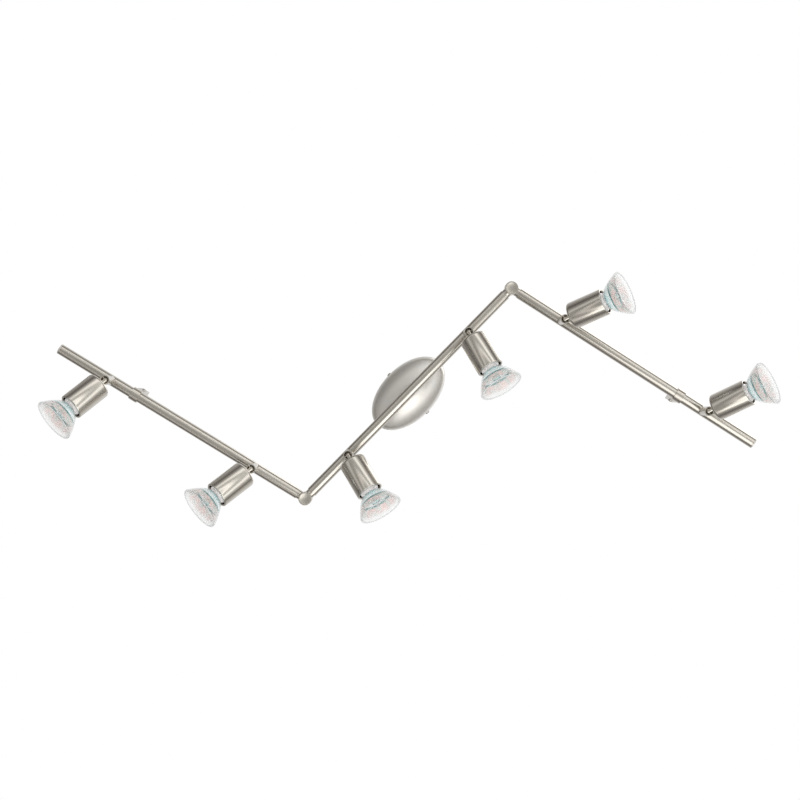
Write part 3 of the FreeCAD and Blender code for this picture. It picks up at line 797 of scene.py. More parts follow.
@dataclass(frozen=True)
class ClearGlass(Finish):
    """Solid clear quartz with slight waves.

    Attributes:
        tint: The glass's linear colour.
        roughness: Its gloss where it is clearest.
        wave_depth: How strongly its waves show in the relief.
    """

    tint: tuple[float, float, float] = (0.97, 0.985, 0.98)
    roughness: float = 0.01
    wave_depth: float = 0.25

    def wire(self, bench: NodeBench, shader: bpy.types.Node,
             place: bpy.types.NodeSocket) -> None:
        """Slow waves in the relief and a trace of haze in the gloss.

        Args:
            bench: The material's node bench.
            shader: Its shader.
            place: Coordinates on the piece, in millimetres.
        """
        waves = bench.noise(place, 0.35, detail=2.0)
        haze = bench.noise(place, 0.8)
        shader.inputs["Base Color"].default_value = toned(self.tint)
        bench.feed(shader.inputs["Roughness"],
                   bench.scaled(haze, 0.4, 0.75, self.roughness, self.roughness * 3))
        shader.inputs["IOR"].default_value = 1.47
        shader.inputs["Transmission Weight"].default_value = 1.0
        bench.feed(shader.inputs["Normal"], bench.relief(waves, self.wave_depth, 0.1))


@dataclass(frozen=True)
class ThinGlass(Finish):
    """Thin clear glass that is nearly unseen face on, with painted shade that turns it grey at
    its edges.

    Attributes:
        face: Its haze where it is seen face on.
        edge: Its haze where it is seen edge on.
        face_colour: The haze's linear colour, face on.
        edge_colour: The painted shade's linear colour edge on, in place of the dark surroundings
            seen through the glass.
        falloff: How narrow the painted grey edge shade is.
    """

    face: float = 0.08
    edge: float = 0.62
    face_colour: tuple[float, float, float] = (0.95, 0.96, 0.955)
    edge_colour: tuple[float, float, float] = (0.58, 0.60, 0.59)
    falloff: float = 3.2

    def wire(self, bench: NodeBench, shader: bpy.types.Node,
             place: bpy.types.NodeSocket) -> None:
        """Edge-on haze from Layer Weight, painted grey at the edges as shade, with slight waves
        of the pressing.

        Args:
            bench: The material's node bench.
            shader: Its shader.
            place: Coordinates on the piece, in millimetres.
        """
        waves = bench.noise(place, 0.35, detail=2.0)
        normal = bench.relief(waves, 0.2, 0.1)
        bench.feed(shader.inputs["Normal"], normal)
        slant = bench.add("LayerWeight", {"Blend": 0.5, "Normal": normal})
        turned = bench.add("Math", {0: slant.outputs["Facing"], 1: self.falloff},
                           operation="POWER").outputs[0]
        haze = bench.scaled(turned, 0.0, 1.0, self.face, self.edge)
        mottle = bench.scaled(bench.noise(place, 0.9), 0.3, 0.7, 0.75, 1.25)
        alpha = bench.add("Math", {0: haze, 1: mottle}, operation="MULTIPLY")
        bench.feed(shader.inputs["Alpha"], alpha.outputs[0])
        # Painted shade: the base colour turns grey edge on, in place of the dark surroundings
        # that the glass would show there.
        colour = bench.blended(turned, toned(self.face_colour), toned(self.edge_colour))
        bench.feed(shader.inputs["Base Color"], colour)
        bench.feed(shader.inputs["Roughness"], bench.scaled(waves, 0.3, 0.7, 0.03, 0.10))
        shader.inputs["IOR"].default_value = 1.5


@dataclass(frozen=True)
class MirrorCoat(Finish):
    """Thin colour-splitting mirror film on the facets of a lamp's bell.

    Attributes:
        neck: Where the bell starts along the head, in millimetres.
        rim: Where it ends.
    """

    neck: float = 50.0
    rim: float = 75.0

    def wire(self, bench: NodeBench, shader: bpy.types.Node,
             place: bpy.types.NodeSocket) -> None:
        """Pale cyan at the neck, a dark ring of painted shade for the shadowed gap behind the
        neck, then rose and sage facets that thin out.

        Args:
            bench: The material's node bench.
            shader: Its shader.
            place: Coordinates on the piece, in millimetres.
        """
        parts = bench.add("SeparateXYZ", {0: place})
        share = bench.scaled(parts.outputs[0], self.neck, self.rim, 0.0, 1.0)
        facet = bench.add("Attribute", attribute_name=FACET).outputs["Fac"]
        # The dark teal stops at 0.40 to 0.46 in both ramps are painted shade: the shadow in the
        # gap where the neck meets the facets.
        cool = bench.ramp(share, (
            (0.00, (0.04, 0.22, 0.24)), (0.07, (0.22, 0.60, 0.64)), (0.14, (0.60, 0.93, 0.95)),
            (0.36, (0.86, 0.98, 0.98)), (0.40, (0.02, 0.20, 0.22)), (0.46, (0.04, 0.22, 0.22)),
            (0.50, (0.55, 0.62, 0.57)), (0.80, (0.66, 0.72, 0.68)), (1.00, (0.95, 0.96, 0.95))))
        warm = bench.ramp(share, (
            (0.00, (0.04, 0.22, 0.24)), (0.07, (0.55, 0.84, 0.86)), (0.14, (0.94, 0.99, 0.99)),
            (0.36, (0.97, 0.98, 0.98)), (0.40, (0.05, 0.28, 0.29)), (0.46, (0.16, 0.34, 0.34)),
            (0.50, (0.97, 0.66, 0.62)), (0.80, (0.98, 0.76, 0.72)), (1.00, (0.98, 0.95, 0.94))))
        drift = bench.scaled(bench.noise(place, 0.17, detail=2.0), 0.36, 0.64, -0.15, 0.75)
        own = bench.scaled(facet, 0.0, 1.0, 0.0, 0.4)
        shade = bench.add("Math", {0: drift, 1: own}, operation="ADD",
                          use_clamp=True).outputs[0]
        mottled = bench.blended(shade, cool, warm)
        pearl = bench.noise(place, 0.5, detail=3.0)
        colour = bench.blended(bench.scaled(pearl, 0.5, 0.8, 0.0, 0.3), mottled,
                               (0.98, 0.98, 0.98, 1.0))
        bench.feed(shader.inputs["Base Color"], colour)
        bench.feed(shader.inputs["Roughness"], bench.scaled(facet, 0.0, 1.0, 0.08, 0.28))
        shader.inputs["Metallic"].default_value = 0.08
        # The nearly opaque stop at 0.41 keeps the painted shade ring solid.
        body = bench.ramp(share, (
            (0.00, (0.90, 0.90, 0.90)), (0.14, (0.80, 0.80, 0.80)), (0.38, (0.85, 0.85, 0.85)),
            (0.41, (0.98, 0.98, 0.98)), (0.46, (0.95, 0.95, 0.95)), (0.51, (0.62, 0.62, 0.62)),
            (0.78, (0.50, 0.50, 0.50)), (0.90, (0.16, 0.16, 0.16)), (1.00, (0.02, 0.02, 0.02))))
        uneven = bench.scaled(shade, 0.0, 1.0, 0.8, 1.05)
        cover = bench.add("Math", {0: body, 1: uneven}, operation="MULTIPLY", use_clamp=True)
        bench.feed(shader.inputs["Alpha"], cover.outputs[0])
        bench.feed(shader.inputs["Normal"], bench.relief(pearl, 0.15, 0.1))


NICKEL_TUBE = BrushedMetal("nickel_tube", "satin_nickel")
NICKEL_CAN = BrushedMetal("nickel_can", "satin_nickel", line_scale=1.5, tint=0.10,
                          roughness=(0.14, 0.21))
NICKEL_CUP = BrushedMetal("nickel_cup", "satin_nickel", colour=(0.775, 0.757, 0.722),
                          streaks=Streaks.EVEN, line_scale=2.0, roughness=(0.34, 0.40),
                          tint=0.03, line_depth=0.02, metallic=0.80)
NICKEL_DISC = BrushedMetal("nickel_disc", "satin_nickel", streaks=Streaks.FLAT,
                           roughness=(0.28, 0.4))
NICKEL_STEM = BrushedMetal("nickel_stem", "satin_nickel", streaks=Streaks.ROUND_Z)
POLISHED_PIN = BrushedMetal("polished_pin", "pin_steel", colour=(0.68, 0.66, 0.63),
                            roughness=(0.1, 0.2), streaks=Streaks.EVEN)
PIN_ON_CAD = BrushedMetal("pin_steel_turned", "pin_steel", on_cad=True, streaks=Streaks.EVEN,
                          colour=(0.68, 0.66, 0.63), roughness=(0.12, 0.22))
ZINC_ON_CAD = BrushedMetal("zinc_plate_passivated", "zinc_steel", on_cad=True,
                           streaks=Streaks.EVEN, colour=(0.62, 0.64, 0.66), line_scale=1.2,
                           roughness=(0.25, 0.45), tint=0.16)
ZINC_SOFT = BrushedMetal("zinc_plate", "zinc_steel", streaks=Streaks.EVEN,
                         colour=(0.62, 0.64, 0.66), line_scale=1.2, roughness=(0.25, 0.45),
                         tint=0.16)
CERAMIC_ON_CAD = MouldedSolid("ceramic_holder", "ceramic", on_cad=True, coat=0.3)
CERAMIC = MouldedSolid("ceramic_foot", "ceramic", colour=(0.97, 0.93, 0.92), coat=0.4)
BLOCK_PLASTIC = MouldedSolid("block_polyamide", "terminal_plastic",
                             colour=(0.86, 0.85, 0.80), roughness=(0.4, 0.55))
SLEEVE_ON_CAD = MouldedSolid("wire_sleeve", "wire_insulation", on_cad=True,
                             colour=(0.74, 0.71, 0.66), roughness=(0.45, 0.6))
# The grey edge colours of these glasses are painted shade.
BELL_GLASS = ThinGlass("bell_glass", "lamp_glass", face=0.03, edge=0.88,
                       edge_colour=(0.52, 0.54, 0.53))
RIM_GLASS = ThinGlass("rim_glass", "lamp_glass", face=0.40, edge=0.95,
                      face_colour=(0.80, 0.82, 0.81), edge_colour=(0.42, 0.44, 0.43))
LENS_GLASS = ThinGlass("lens_glass", "lamp_glass", face=0.03, edge=0.40)
BURNER_GLASS = ClearGlass("burner_quartz", "lamp_glass")
FILAMENT = BrushedMetal("tungsten_wire", "pin_steel", colour=(0.25, 0.24, 0.23),
                        streaks=Streaks.EVEN, roughness=(0.3, 0.45))


# --- ceiling cup ---------------------------------------------------------------
@dataclass
class CeilingCup:
    """The oval cup on the ceiling and everything that it covers.

    Attributes:
        wall: Thickness of the cup's sheet.
        wall_height: Ceiling to the start of the shoulder.
        shoulder: Radius of the rounded shoulder.
        lip_depth: Thickness of the small lip that lies on the ceiling.
        lip_reach: How far the lip stands out from the wall.
        screw_level: Side screws below the ceiling.
        screw: The side screws.
        turns: Steps round the cup.
    """

    wall: float = 1.0
    wall_height: float = 11.7
    shoulder: float = 12.0
    lip_depth: float = 1.0
    lip_reach: float = 0.8
    screw_level: float = 7.0
    screw: CrossScrew = CrossScrew(2.7, 1.8, 1.6, 0.4, 0.32, 0.9)
    turns: int = 160

    def __post_init__(self) -> None:
        """Read the cup's outer sizes from the frame."""
        self.seat = centre_seat()
        self.half_length = self.seat.span("canopy_shell", Axis.X)[1]
        self.half_width = self.seat.span("canopy_shell", Axis.Y)[1]
        self.depth = -self.seat.span("canopy_shell", Axis.Z)[0]
        self.hole = self.seat.span("nipple", Axis.X)[1]

    def face_line(self, inset: float) -> list[Corner]:
        """The cup's section from its hole down to the top of its upright wall.

        Args:
            inset: How far the line is moved into the sheet.

        Returns:
            The section's corners.
        """
        half_length = self.half_length - inset
        depth = self.depth - inset
        shoulder = self.shoulder - inset
        middle = half_length - shoulder
        fall = depth - self.wall_height
        crown = (middle ** 2 + fall ** 2 - shoulder ** 2) / (2 * (fall - shoulder))
        crown_centre = crown - depth
        lean = math.degrees(math.atan2(crown_centre + self.wall_height, middle))
        start = math.degrees(math.asin(self.hole / crown)) - 90
        crown_arc = arc((crown_centre, 0.0), crown, start, -lean, 22)
        shoulder_arc = arc((-self.wall_height, middle), shoulder, -lean, 0, 14)
        return crown_arc + shoulder_arc[1:]

    def draw_shell(self) -> None:
        """The pressed cup, open at the ceiling."""
        outside = self.face_line(0.0)
        inside = self.face_line(self.wall)
        reach = self.half_length + self.lip_reach
        lip = [Corner(-self.lip_depth, self.half_length, 0.4, 3),
               Corner(-self.lip_depth, reach, 0.3, 3), Corner(0.0, reach, 0.2, 2),
               Corner(0.0, self.half_length - self.wall, self.wall * 0.3, 2)]
        draft = Draft().turned(Axis.Z, outside + lip + inside[::-1], self.turns, loop=True)
        narrow = (1.0, self.half_width / self.half_length, 1.0)
        bmesh.ops.scale(draft.mesh, vec=narrow, verts=draft.mesh.verts[:])
        draft.placed("ceiling_cup", self.seat, NICKEL_CUP, ["canopy_shell"])

    def draw_screws(self) -> None:
        """Round-headed cross screws through the cup's two long sides."""
        for word, sign in (("near", -1.0), ("far", 1.0)):
            place = self.seat.moved(0, sign * self.half_width, -self.screw_level)
            seat = Seat(place.body, place.origin, (0.0, sign, 0.0))
            self.screw.placed("cup_screw_" + word, seat, "canopy_screws")

    def draw_inside(self) -> None:
        """The bracket, terminal block, nipple, nut, saddle and wires."""
        refined("mounting_bracket", self.seat, "ceiling_bracket", ZINC_SOFT, 0.2)
        refined("terminal_block", self.seat, "three_pole_block", BLOCK_PLASTIC, 0.3)
        refined("nipple_nut", self.seat, "hex_nut", ZINC_SOFT, 0.3)
        refined("tube_saddle", self.seat, "saddle_spacer", NICKEL_STEM, 0.25)
        ZINC_ON_CAD.dress("nipple")
        SLEEVE_ON_CAD.dress("centre_wiring")

    def build(self) -> None:
        """Make the whole sub-assembly."""
        self.draw_shell()
        self.draw_screws()
        self.draw_inside()


# --- tubes and hinges ------------------------------------------------------------
@dataclass
class CentreTube:
    """The fixed tube under the cup with its hinge forks, pins and collars.

    Attributes:
        wall: Thickness of the tube's wall.
        end_edge: Rounding of the tube's ends.
        knuckle_edge: Rounding of the forks.
        collar_edge: Rounding of the saddle collars.
        cap_edge: Rounding of the discs over the pins.
        cap_ring: Inner edge of a disc's raised ring, as a share of its radius.
        cap_step: Height of that ring.
    """

    wall: float = 1.0
    end_edge: float = 0.25
    knuckle_edge: float = 0.2
    collar_edge: float = 0.12
    cap_edge: float = 0.45
    cap_ring: float = 0.78
    cap_step: float = 0.12

    def draw_tube(self) -> None:
        """The tube itself, drawn along X."""
        seat = tube_seat()
        low, high = seat.span("centre_tube", Axis.X)
        radius = seat.span("centre_tube", Axis.Y)[1]
        draft = Draft().ring(Axis.X, low, high, radius - self.wall, radius, self.end_edge)
        draft.placed("fixed_tube", seat, NICKEL_TUBE, ["centre_tube"])

    def draw_discs(self, side: Side) -> None:
        """The flat discs over one hinge's pin, above and below.

        Args:
            side: Which hinge.
        """
        middle = tube_seat()
        seat = Seat("centre_bar", tuple(JOINTS[side.value + "_arm_hinge"]["pos_m"]))
        top = middle.span("hinge_caps", Axis.Z)[1]
        seat_level = middle.span("hinge_forks", Axis.Z)[1]
        radius = middle.span("hinge_forks", Axis.Y)[1]
        ring = radius * self.cap_ring
        floor = top - self.cap_step
        draft = Draft()
        for sign in (-1, 1):
            corners = [Corner(sign * seat_level, 0), Corner(sign * seat_level, radius),
                       Corner(sign * top, radius, self.cap_edge, 4),
                       Corner(sign * top, ring), Corner(sign * floor, ring - 0.2),
                       Corner(sign * floor, 0)]
            draft.turned(Axis.Z, corners, 72)
        draft.placed("hinge_discs_" + side.value, seat, NICKEL_DISC, ["hinge_caps"])

    def build(self) -> None:
        """Make the whole sub-assembly."""
        self.draw_tube()
        middle = tube_seat()
        refined("hinge_forks", middle, "fork_knuckles", NICKEL_STEM, self.knuckle_edge)
        for side in Side:
            self.draw_discs(side)
        refined("centre_collars", middle, "fixed_tube_collars", NICKEL_STEM,
                self.collar_edge)
        PIN_ON_CAD.dress("hinge_pins")


@dataclass
class Arm:
    """A side tube with its hinge tongue, end cap, collars and wires.

    Attributes:
        side: Which arm.
        wall: Thickness of the tube's wall.
        end_edge: Rounding of the tube's ends.
        knuckle_edge: Rounding of the tongue.
        collar_edge: Rounding of the saddle collars.
        cap_edge: Rounding of the end cap.
    """

    side: Side
    wall: float = 1.0
    end_edge: float = 0.25
    knuckle_edge: float = 0.2
    collar_edge: float = 0.12
    cap_edge: float = 0.7

    def build(self) -> None:
        """Make the whole sub-assembly."""
        word = self.side.value
        seat = arm_seat(self.side)
        low, high = seat.span(word + "_arm_tube", Axis.X)
        radius = seat.span(word + "_arm_tube", Axis.Y)[1]
        bore = radius - self.wall
        draft = Draft().ring(Axis.X, low, high, bore, radius, self.end_edge)
        draft.placed(word + "_swing_tube", seat, NICKEL_TUBE, [word + "_arm_tube"])
        plug, tip = seat.span(word + "_end_cap", Axis.X)
        corners = [Corner(plug, 0), Corner(plug, bore, 0.3, 2),
                   Corner(high, bore), Corner(high, radius, 0.15, 2),
                   Corner(tip, radius, self.cap_edge, 5), Corner(tip, 0)]
        draft = Draft().turned(Axis.X, corners)
        draft.placed(word + "_tube_cap", seat, NICKEL_CUP, [word + "_end_cap"])
        refined(word + "_hinge_tongue", seat, word + "_tongue_knuckle", NICKEL_STEM,
                self.knuckle_edge)
        refined(word + "_arm_collars", seat, word + "_tube_collars", NICKEL_STEM,
                self.collar_edge)
        SLEEVE_ON_CAD.dress(word + "_arm_wiring")


@dataclass
class SideSupport:
    """A post from the ceiling with a ring around an arm.

    Attributes:
        side: Which arm it holds.
        edge: Rounding of the post and ring.
        clip_edge: Rounding of the ceiling clip.
        screw: The post's side screw.
    """

    side: Side
    edge: float = 0.45
    clip_edge: float = 0.15
    screw: CrossScrew = CrossScrew(2.3, 1.4, 1.2, 0.3, 0.28, 0.7)

    def build(self) -> None:
        """Make the whole sub-assembly."""
        word = self.side.value
        arm = arm_seat(self.side)
        seat = Seat(word + "_support", arm.origin, arm.along)
        refined(word + "_support_post", seat, word + "_post_and_ring", NICKEL_STEM, self.edge)
        refined(word + "_support_clip", seat, word + "_ceiling_clip", ZINC_SOFT,
                self.clip_edge)
        node = word + "_support_screw"
        low, high = seat.span(node, Axis.X)
        level = sum(seat.span(node, Axis.Z)) / 2
        face = seat.span(node, Axis.Y)[1] - self.screw.rise
        place = seat.moved((low + high) / 2, face, level)
        outward = Vector(seat.matrix().col[1][:3]).normalized()
        self.screw.placed(word + "_post_screw", Seat(seat.body, place.origin, tuple(outward)),
                          node)


# --- swivels and spot heads ------------------------------------------------------
@dataclass
class Swivel:
    """A stem below a tube with an open socket for a spot head's ball.

    Attributes:
        number: The spot's number along the rail.
        wall: Thickness of the socket's wall.
        half_slot: Half the width of the socket's open side.
        slot_top: Top of the open side above the tilt pin.
        socket_top: Top of the socket's bore above the tilt pin.
        bore_cone: Height of the cone at the bore's end.
        edge: Rounding of the stem.
        tube_radius: Radius of the tube above.
        collar: Depth of the collar below the tube.
        seam: Gap between collar and stem.
        spigot: Radius of the spigot that turns in the collar.
        spigot_lip: Radius of the spigot's retaining lip.
        lip_height: Height of that lip.
    """

    number: int
    wall: float = 1.1
    half_slot: float = 3.0
    slot_top: float = 3.6
    socket_top: float = 5.1
    bore_cone: float = 1.2
    edge: float = 0.28
    tube_radius: float = 6.0
    collar: float = 1.6
    seam: float = 0.3
    spigot: float = 3.0
    spigot_lip: float = 3.9
    lip_height: float = 0.8

    def cut_mouth(self, solid: bmesh.types.BMesh) -> None:
        """Open the socket's wall on the +X side, from below up to the slot's top.

        Args:
            solid: The turned stem.
        """
        for place, normal in (((0, self.half_slot, 0), (0, 1, 0)),
                              ((0, -self.half_slot, 0), (0, -1, 0)),
                              ((0, 0, self.slot_top), (0, 0, 1))):
            whole = solid.verts[:] + solid.edges[:] + solid.faces[:]
            bmesh.ops.bisect_plane(solid, geom=whole, plane_co=place, plane_no=normal,
                                   dist=SAME_PLACE)
        gone = []
        for face in solid.faces:
            middle = face.calc_center_median()
            if middle.x > 0 and abs(middle.y) < self.half_slot and middle.z < self.slot_top:
                gone.append(face)
        bmesh.ops.delete(solid, geom=gone, context="FACES")
        rails = []
        for edge in solid.edges:
            reach = [math.hypot(vert.co.x, vert.co.y) for vert in edge.verts]
            if edge.is_boundary and abs(reach[0] - reach[1]) < self.wall / 2:
                rails.append(edge)
        bmesh.ops.bridge_loops(solid, edges=rails)
        bmesh.ops.recalc_face_normals(solid, faces=solid.faces[:])

    def build(self) -> None:
        """Make the stem and dress its pin."""
        word = str(self.number)
        seat = swivel_seat(self.number)
        node = "swivel_stem_" + word
        low, high = seat.span(node, Axis.Z)
        radius = seat.span(node, Axis.Y)[1]
        tube = -seat.origin[2] / MM + tube_level() / MM
        shoulder = tube - self.tube_radius - self.collar - self.seam
        bore = radius - self.wall
        corners = [Corner(shoulder, 0), Corner(shoulder, radius), Corner(low, radius),
                   Corner(low, bore), Corner(self.socket_top, bore),
                   Corner(self.socket_top + self.bore_cone, 0)]
        draft = Draft().turned(Axis.Z, corners, 64, shape=self.cut_mouth)
        lip = high - self.lip_height
        draft.turned(Axis.Z, [Corner(shoulder - 1, 0), Corner(shoulder - 1, self.spigot),
                              Corner(lip, self.spigot), Corner(lip, self.spigot_lip),
                              Corner(high, self.spigot_lip, 0.2, 2), Corner(high, 0)], 32)
        piece = draft.placed("ball_stem_" + word, seat, NICKEL_STEM, [node], COPY_CRISP_ANGLE)
        soften(piece, self.edge)
        PIN_ON_CAD.dress("tilt_pin_" + word)


@dataclass
class SpotHead:
    """A spot can with its ball, neck and lamp holder.

    Attributes:
        number: The spot's number along the rail.
        wall: Thickness of the can's sheet.
        back_edge: Radius of the rounded back edge.
        lip_wall: Thickness of the lip around the mouth.
        lip_length: How far the thick lip runs back.
        ball: Radius of the ball.
        neck: Radius of the neck.
        neck_flare: Flare where the neck meets the can.
    """

    number: int
    wall: float = 1.1
    back_edge: float = 3.2
    lip_wall: float = 2.2
    lip_length: float = 3.0
    ball: float = 3.5
    neck: float = 2.7
    neck_flare: float = 0.9

    def build(self) -> None:
        """Make the can with its neck and ball, and dress the holder."""
        word = str(self.number)
        seat = head_seat(self.number)
        mouth = seat.span("head_can_" + word, Axis.X)[1]
        back = seat.span("lamp_holder_" + word, Axis.X)[0] - self.wall
        radius = seat.span("head_can_" + word, Axis.Y)[1]
        inner = radius - self.wall
        join = math.degrees(math.asin(self.neck / self.ball))
        ball = arc((0.0, 0.0), self.ball, -90, 90 - join, 16)
        half = self.lip_wall / 2
        corners = ball + [
            Corner(back - self.neck_flare, self.neck),
            Corner(back, self.neck + self.neck_flare),
            Corner(back, radius, self.back_edge, 8),
            Corner(mouth, radius, half * 0.98, 6),
            Corner(mouth, radius - self.lip_wall, half * 0.98, 6),
            Corner(mouth - self.lip_length, radius - self.lip_wall, 0.4, 2),
            Corner(mouth - self.lip_length - half, inner, 0.3, 2),
            Corner(back + self.wall, inner, self.back_edge - self.wall, 6),
            Corner(back + self.wall, 0),
        ]
        draft = Draft().turned(Axis.X, corners, 96)
        draft.placed("spot_can_" + word, seat, NICKEL_CAN, ["head_can_" + word])
        CERAMIC_ON_CAD.dress("lamp_holder_" + word)


@dataclass
class ReflectorLamp:
    """A reflector lamp: glass bell, mirror facets, front lens, burner and foot.

    Attributes:
        number: The spot's number along the rail.
        glass: Thickness of the bell's glass.
        throat: Radius of the bell's narrow neck.
        neck_length: How far the neck runs back into the foot.
        shoulder: Radius where the bell starts to flare.
        facets: Mirror facets round the bell.
        rings: Rings of facets from the neck to the rim.
        turns: Steps round the glass.
        rim_depth: From the rim back to the widest end of the flare.
        bell_length: Length of the flare.
        lens_recess: How far the lens lies behind the rim.
        lens_thickness: Thickness of the lens's edge.
        lens_gap: Gap between lens and bell.
        film: Thickness of the mirror film.
        film_gap: Gap between bell and film.
        bead: Depth of the thick rim.
        foot_radius: Radius of the ceramic foot.
        foot_gap: From the foot's end to the start of the flare.
        burner_start: From the burner's back end to the start of the flare.
        seal: Radius of the burner's pinched end.
        bulb: Radius of the burner's bulb.
        tip: Radius of the burner's drawn tip.
        coil_wire: Radius of the filament's wire.
        coil: Radius of the filament's coil.
        coil_turns: Turns of the coil.
        coil_rise: Length of one twelfth of a turn.
    """

    number: int
    glass: float = 1.3
    throat: float = 7.8
    neck_length: float = 7.0
    shoulder: float = 11.6
    facets: int = 30
    rings: int = 8
    turns: int = 96
    rim_depth: float = 1.8
    bell_length: float = 20.2
    lens_recess: float = 0.8
    lens_thickness: float = 1.4
    lens_gap: float = 0.15
    film: float = 0.12
    film_gap: float = 0.06
    bead: float = 1.2
    foot_radius: float = 10.8
    foot_gap: float = 2.0
    burner_start: float = 4.0
    seal: float = 3.2
    bulb: float = 5.0
    tip: float = 1.2
    coil_wire: float = 0.16
    coil: float = 0.9
    coil_turns: int = 9
    coil_rise: float = 0.055

    def __post_init__(self) -> None:
        """Read the lamp's outer sizes from the frame."""
        self.word = str(self.number)
        self.seat = head_seat(self.number)
        self.rim = self.seat.span("lamp_" + self.word, Axis.X)[1]
        self.rim_radius = self.seat.span("lamp_" + self.word, Axis.Y)[1]
        self.foot = self.seat.span("lamp_holder_" + self.word, Axis.X)[1]
        self.bell_back = self.rim - self.rim_depth - self.bell_length

    def bell(self, steps: int, inset: float) -> list[Corner]:
        """The bell's parabola from its shoulder to its rim.

        Args:
            steps: Number of steps along it.
            inset: How far it is moved in.

        Returns:
            The corners, both ends among them.
        """
        corners = []
        narrowing = (self.shoulder / self.rim_radius) ** 2
        for step in range(steps + 1):
            share = step / steps
            radius = self.rim_radius * math.sqrt(narrowing + (1 - narrowing) * share)
            corners.append(Corner(self.bell_back + self.bell_length * share, radius - inset))
        return corners

    def draw_glass(self) -> None:
        """The clear bell, with a narrow neck and a flared wall, and its thick rim."""
        front = self.rim - self.bead
        back = self.bell_back
        end = back - self.neck_length
        outside = [Corner(end, self.throat), Corner(back - 1.9, self.throat, 0.8, 3),
                   Corner(back - 0.8, self.shoulder - 1.2, 0.8, 3)]
        outside += self.bell(18, 0.0)[1:]
        outside += [Corner(front, self.rim_radius, 0.5, 4)]
        inside = [Corner(front, self.rim_radius - self.glass, 0.4, 3)]
        inside += self.bell(18, self.glass)[::-1]
        inside += [Corner(back + 0.4, self.throat - self.glass, 0.6, 3),
                   Corner(end, self.throat - self.glass)]
        draft = Draft().turned(Axis.X, outside + inside, self.turns, loop=True)
        draft.placed("lamp_bell_" + self.word, self.seat, BELL_GLASS, ["lamp_" + self.word])
        draft = Draft().ring(Axis.X, front, self.rim, self.rim_radius - self.glass - 0.1,
                             self.rim_radius, 0.45, self.turns)
        draft.placed("lamp_rim_" + self.word, self.seat, RIM_GLASS)

    def draw_film(self) -> None:
        """The mirror film: a thin faceted shell inside the bell."""
        inset = self.glass + self.film_gap
        section = self.bell(self.rings, inset) + self.bell(self.rings, inset + self.film)[::-1]
        chance = random.Random(self.number)

        def tell_facets(solid: bmesh.types.BMesh) -> None:
            """Give every facet its own shade.

            Args:
                solid: The turned film.
            """
            layer = solid.faces.layers.float.new(FACET)
            for face in solid.faces:
                face[layer] = chance.random()

        draft = Draft().turned(Axis.X, section, self.facets, loop=True, shape=tell_facets)
        finish = MirrorCoat("mirror_film", "lamp_glass", neck=self.bell_back,
                            rim=self.bell_back + self.bell_length)
        draft.placed("lamp_mirror_" + self.word, self.seat, finish, crease=None)

    def draw_lens(self) -> None:
        """The clear front lens, slightly crowned, with a raised middle."""
        front = self.rim - self.lens_recess
        back = front - self.lens_thickness
        edge = self.rim_radius - self.glass - self.lens_gap
        corners = [Corner(back, 0), Corner(back, edge, 0.2, 2), Corner(front, edge, 0.3, 2),
                   Corner(front + 0.25, edge * 0.8, 1.0, 3),
                   Corner(front + 0.6, edge * 0.3, 1.5, 3), Corner(front + 0.65, 0)]
        draft = Draft().turned(Axis.X, corners, self.turns)
        draft.placed("lamp_lens_" + self.word, self.seat, LENS_GLASS)

    def draw_foot(self) -> None:
        """The ceramic foot: a drum in the can whose front steps up to the bell's neck."""
        end = self.bell_back - self.foot_gap
        neck = self.throat + 0.7
        corners = [Corner(self.foot, 0), Corner(self.foot, self.foot_radius, 0.6, 3),
                   Corner(end - 1.9, self.foot_radius, 0.9, 5),
                   Corner(end - 1.5, neck + 0.4, 0.3, 3), Corner(end, neck, 0.4, 3),
                   Corner(end, self.throat - 2.0, 0.3, 2), Corner(end + 1.0, 0)]
        draft = Draft().turned(Axis.X, corners, 72)
        draft.placed("lamp_foot_" + self.word, self.seat, CERAMIC)

    def draw_burner(self) -> None:
        """The quartz burner with its pinched seal, round bulb and drawn tip."""
        start = self.bell_back - self.burner_start
        corners = [Corner(start, 0), Corner(start, self.seal, 0.5, 2),
                   Corner(start + 6.0, self.seal, 0.8, 3),
                   Corner(start + 7.5, self.bulb, 1.0, 4),
                   Corner(start + 16.0, self.bulb, 2.4, 6),
                   Corner(start + 18.6, self.tip, 0.6, 3),
                   Corner(start + 20.0, self.tip / 2, 0.3, 2), Corner(start + 20.2, 0)]
        draft = Draft().turned(Axis.X, corners, 40)
        draft.placed("lamp_burner_" + self.word, self.seat, BURNER_GLASS)

    def draw_filament(self) -> None:
        """The coiled wire that lies across the burner's bulb."""
        half_length = 3.0
        middle = self.bell_back - self.burner_start + 12.0
        upright = Matrix.Rotation(math.pi / 2, 4, "X")
        coil = bmesh.new()
        wire = bmesh.ops.create_circle(coil, cap_ends=False, radius=self.coil_wire,
                                       segments=6)["verts"]
        bmesh.ops.transform(coil, matrix=upright, verts=wire)
        bmesh.ops.translate(coil, verts=wire, vec=(self.coil, 0, 0))
        bmesh.ops.spin(coil, geom=coil.verts[:] + coil.edges[:], cent=(0, 0, 0),
                       axis=Axis.Z.vector(), dvec=(0, 0, self.coil_rise),
                       angle=math.tau * self.coil_turns, steps=12 * self.coil_turns,
                       use_duplicate=False)
        open_ends = [edge for edge in coil.edges if edge.is_boundary]
        bmesh.ops.holes_fill(coil, edges=open_ends, sides=0)
        bmesh.ops.recalc_face_normals(coil, faces=coil.faces[:])
        bmesh.ops.translate(coil, verts=coil.verts[:], vec=(0, 0, -half_length))
        bmesh.ops.transform(coil, matrix=Matrix.Translation((middle, 0, 0)) @ upright,
                            verts=coil.verts[:])
        draft = Draft()
        draft.add(coil)
        draft.placed("lamp_filament_" + self.word, self.seat, FILAMENT)

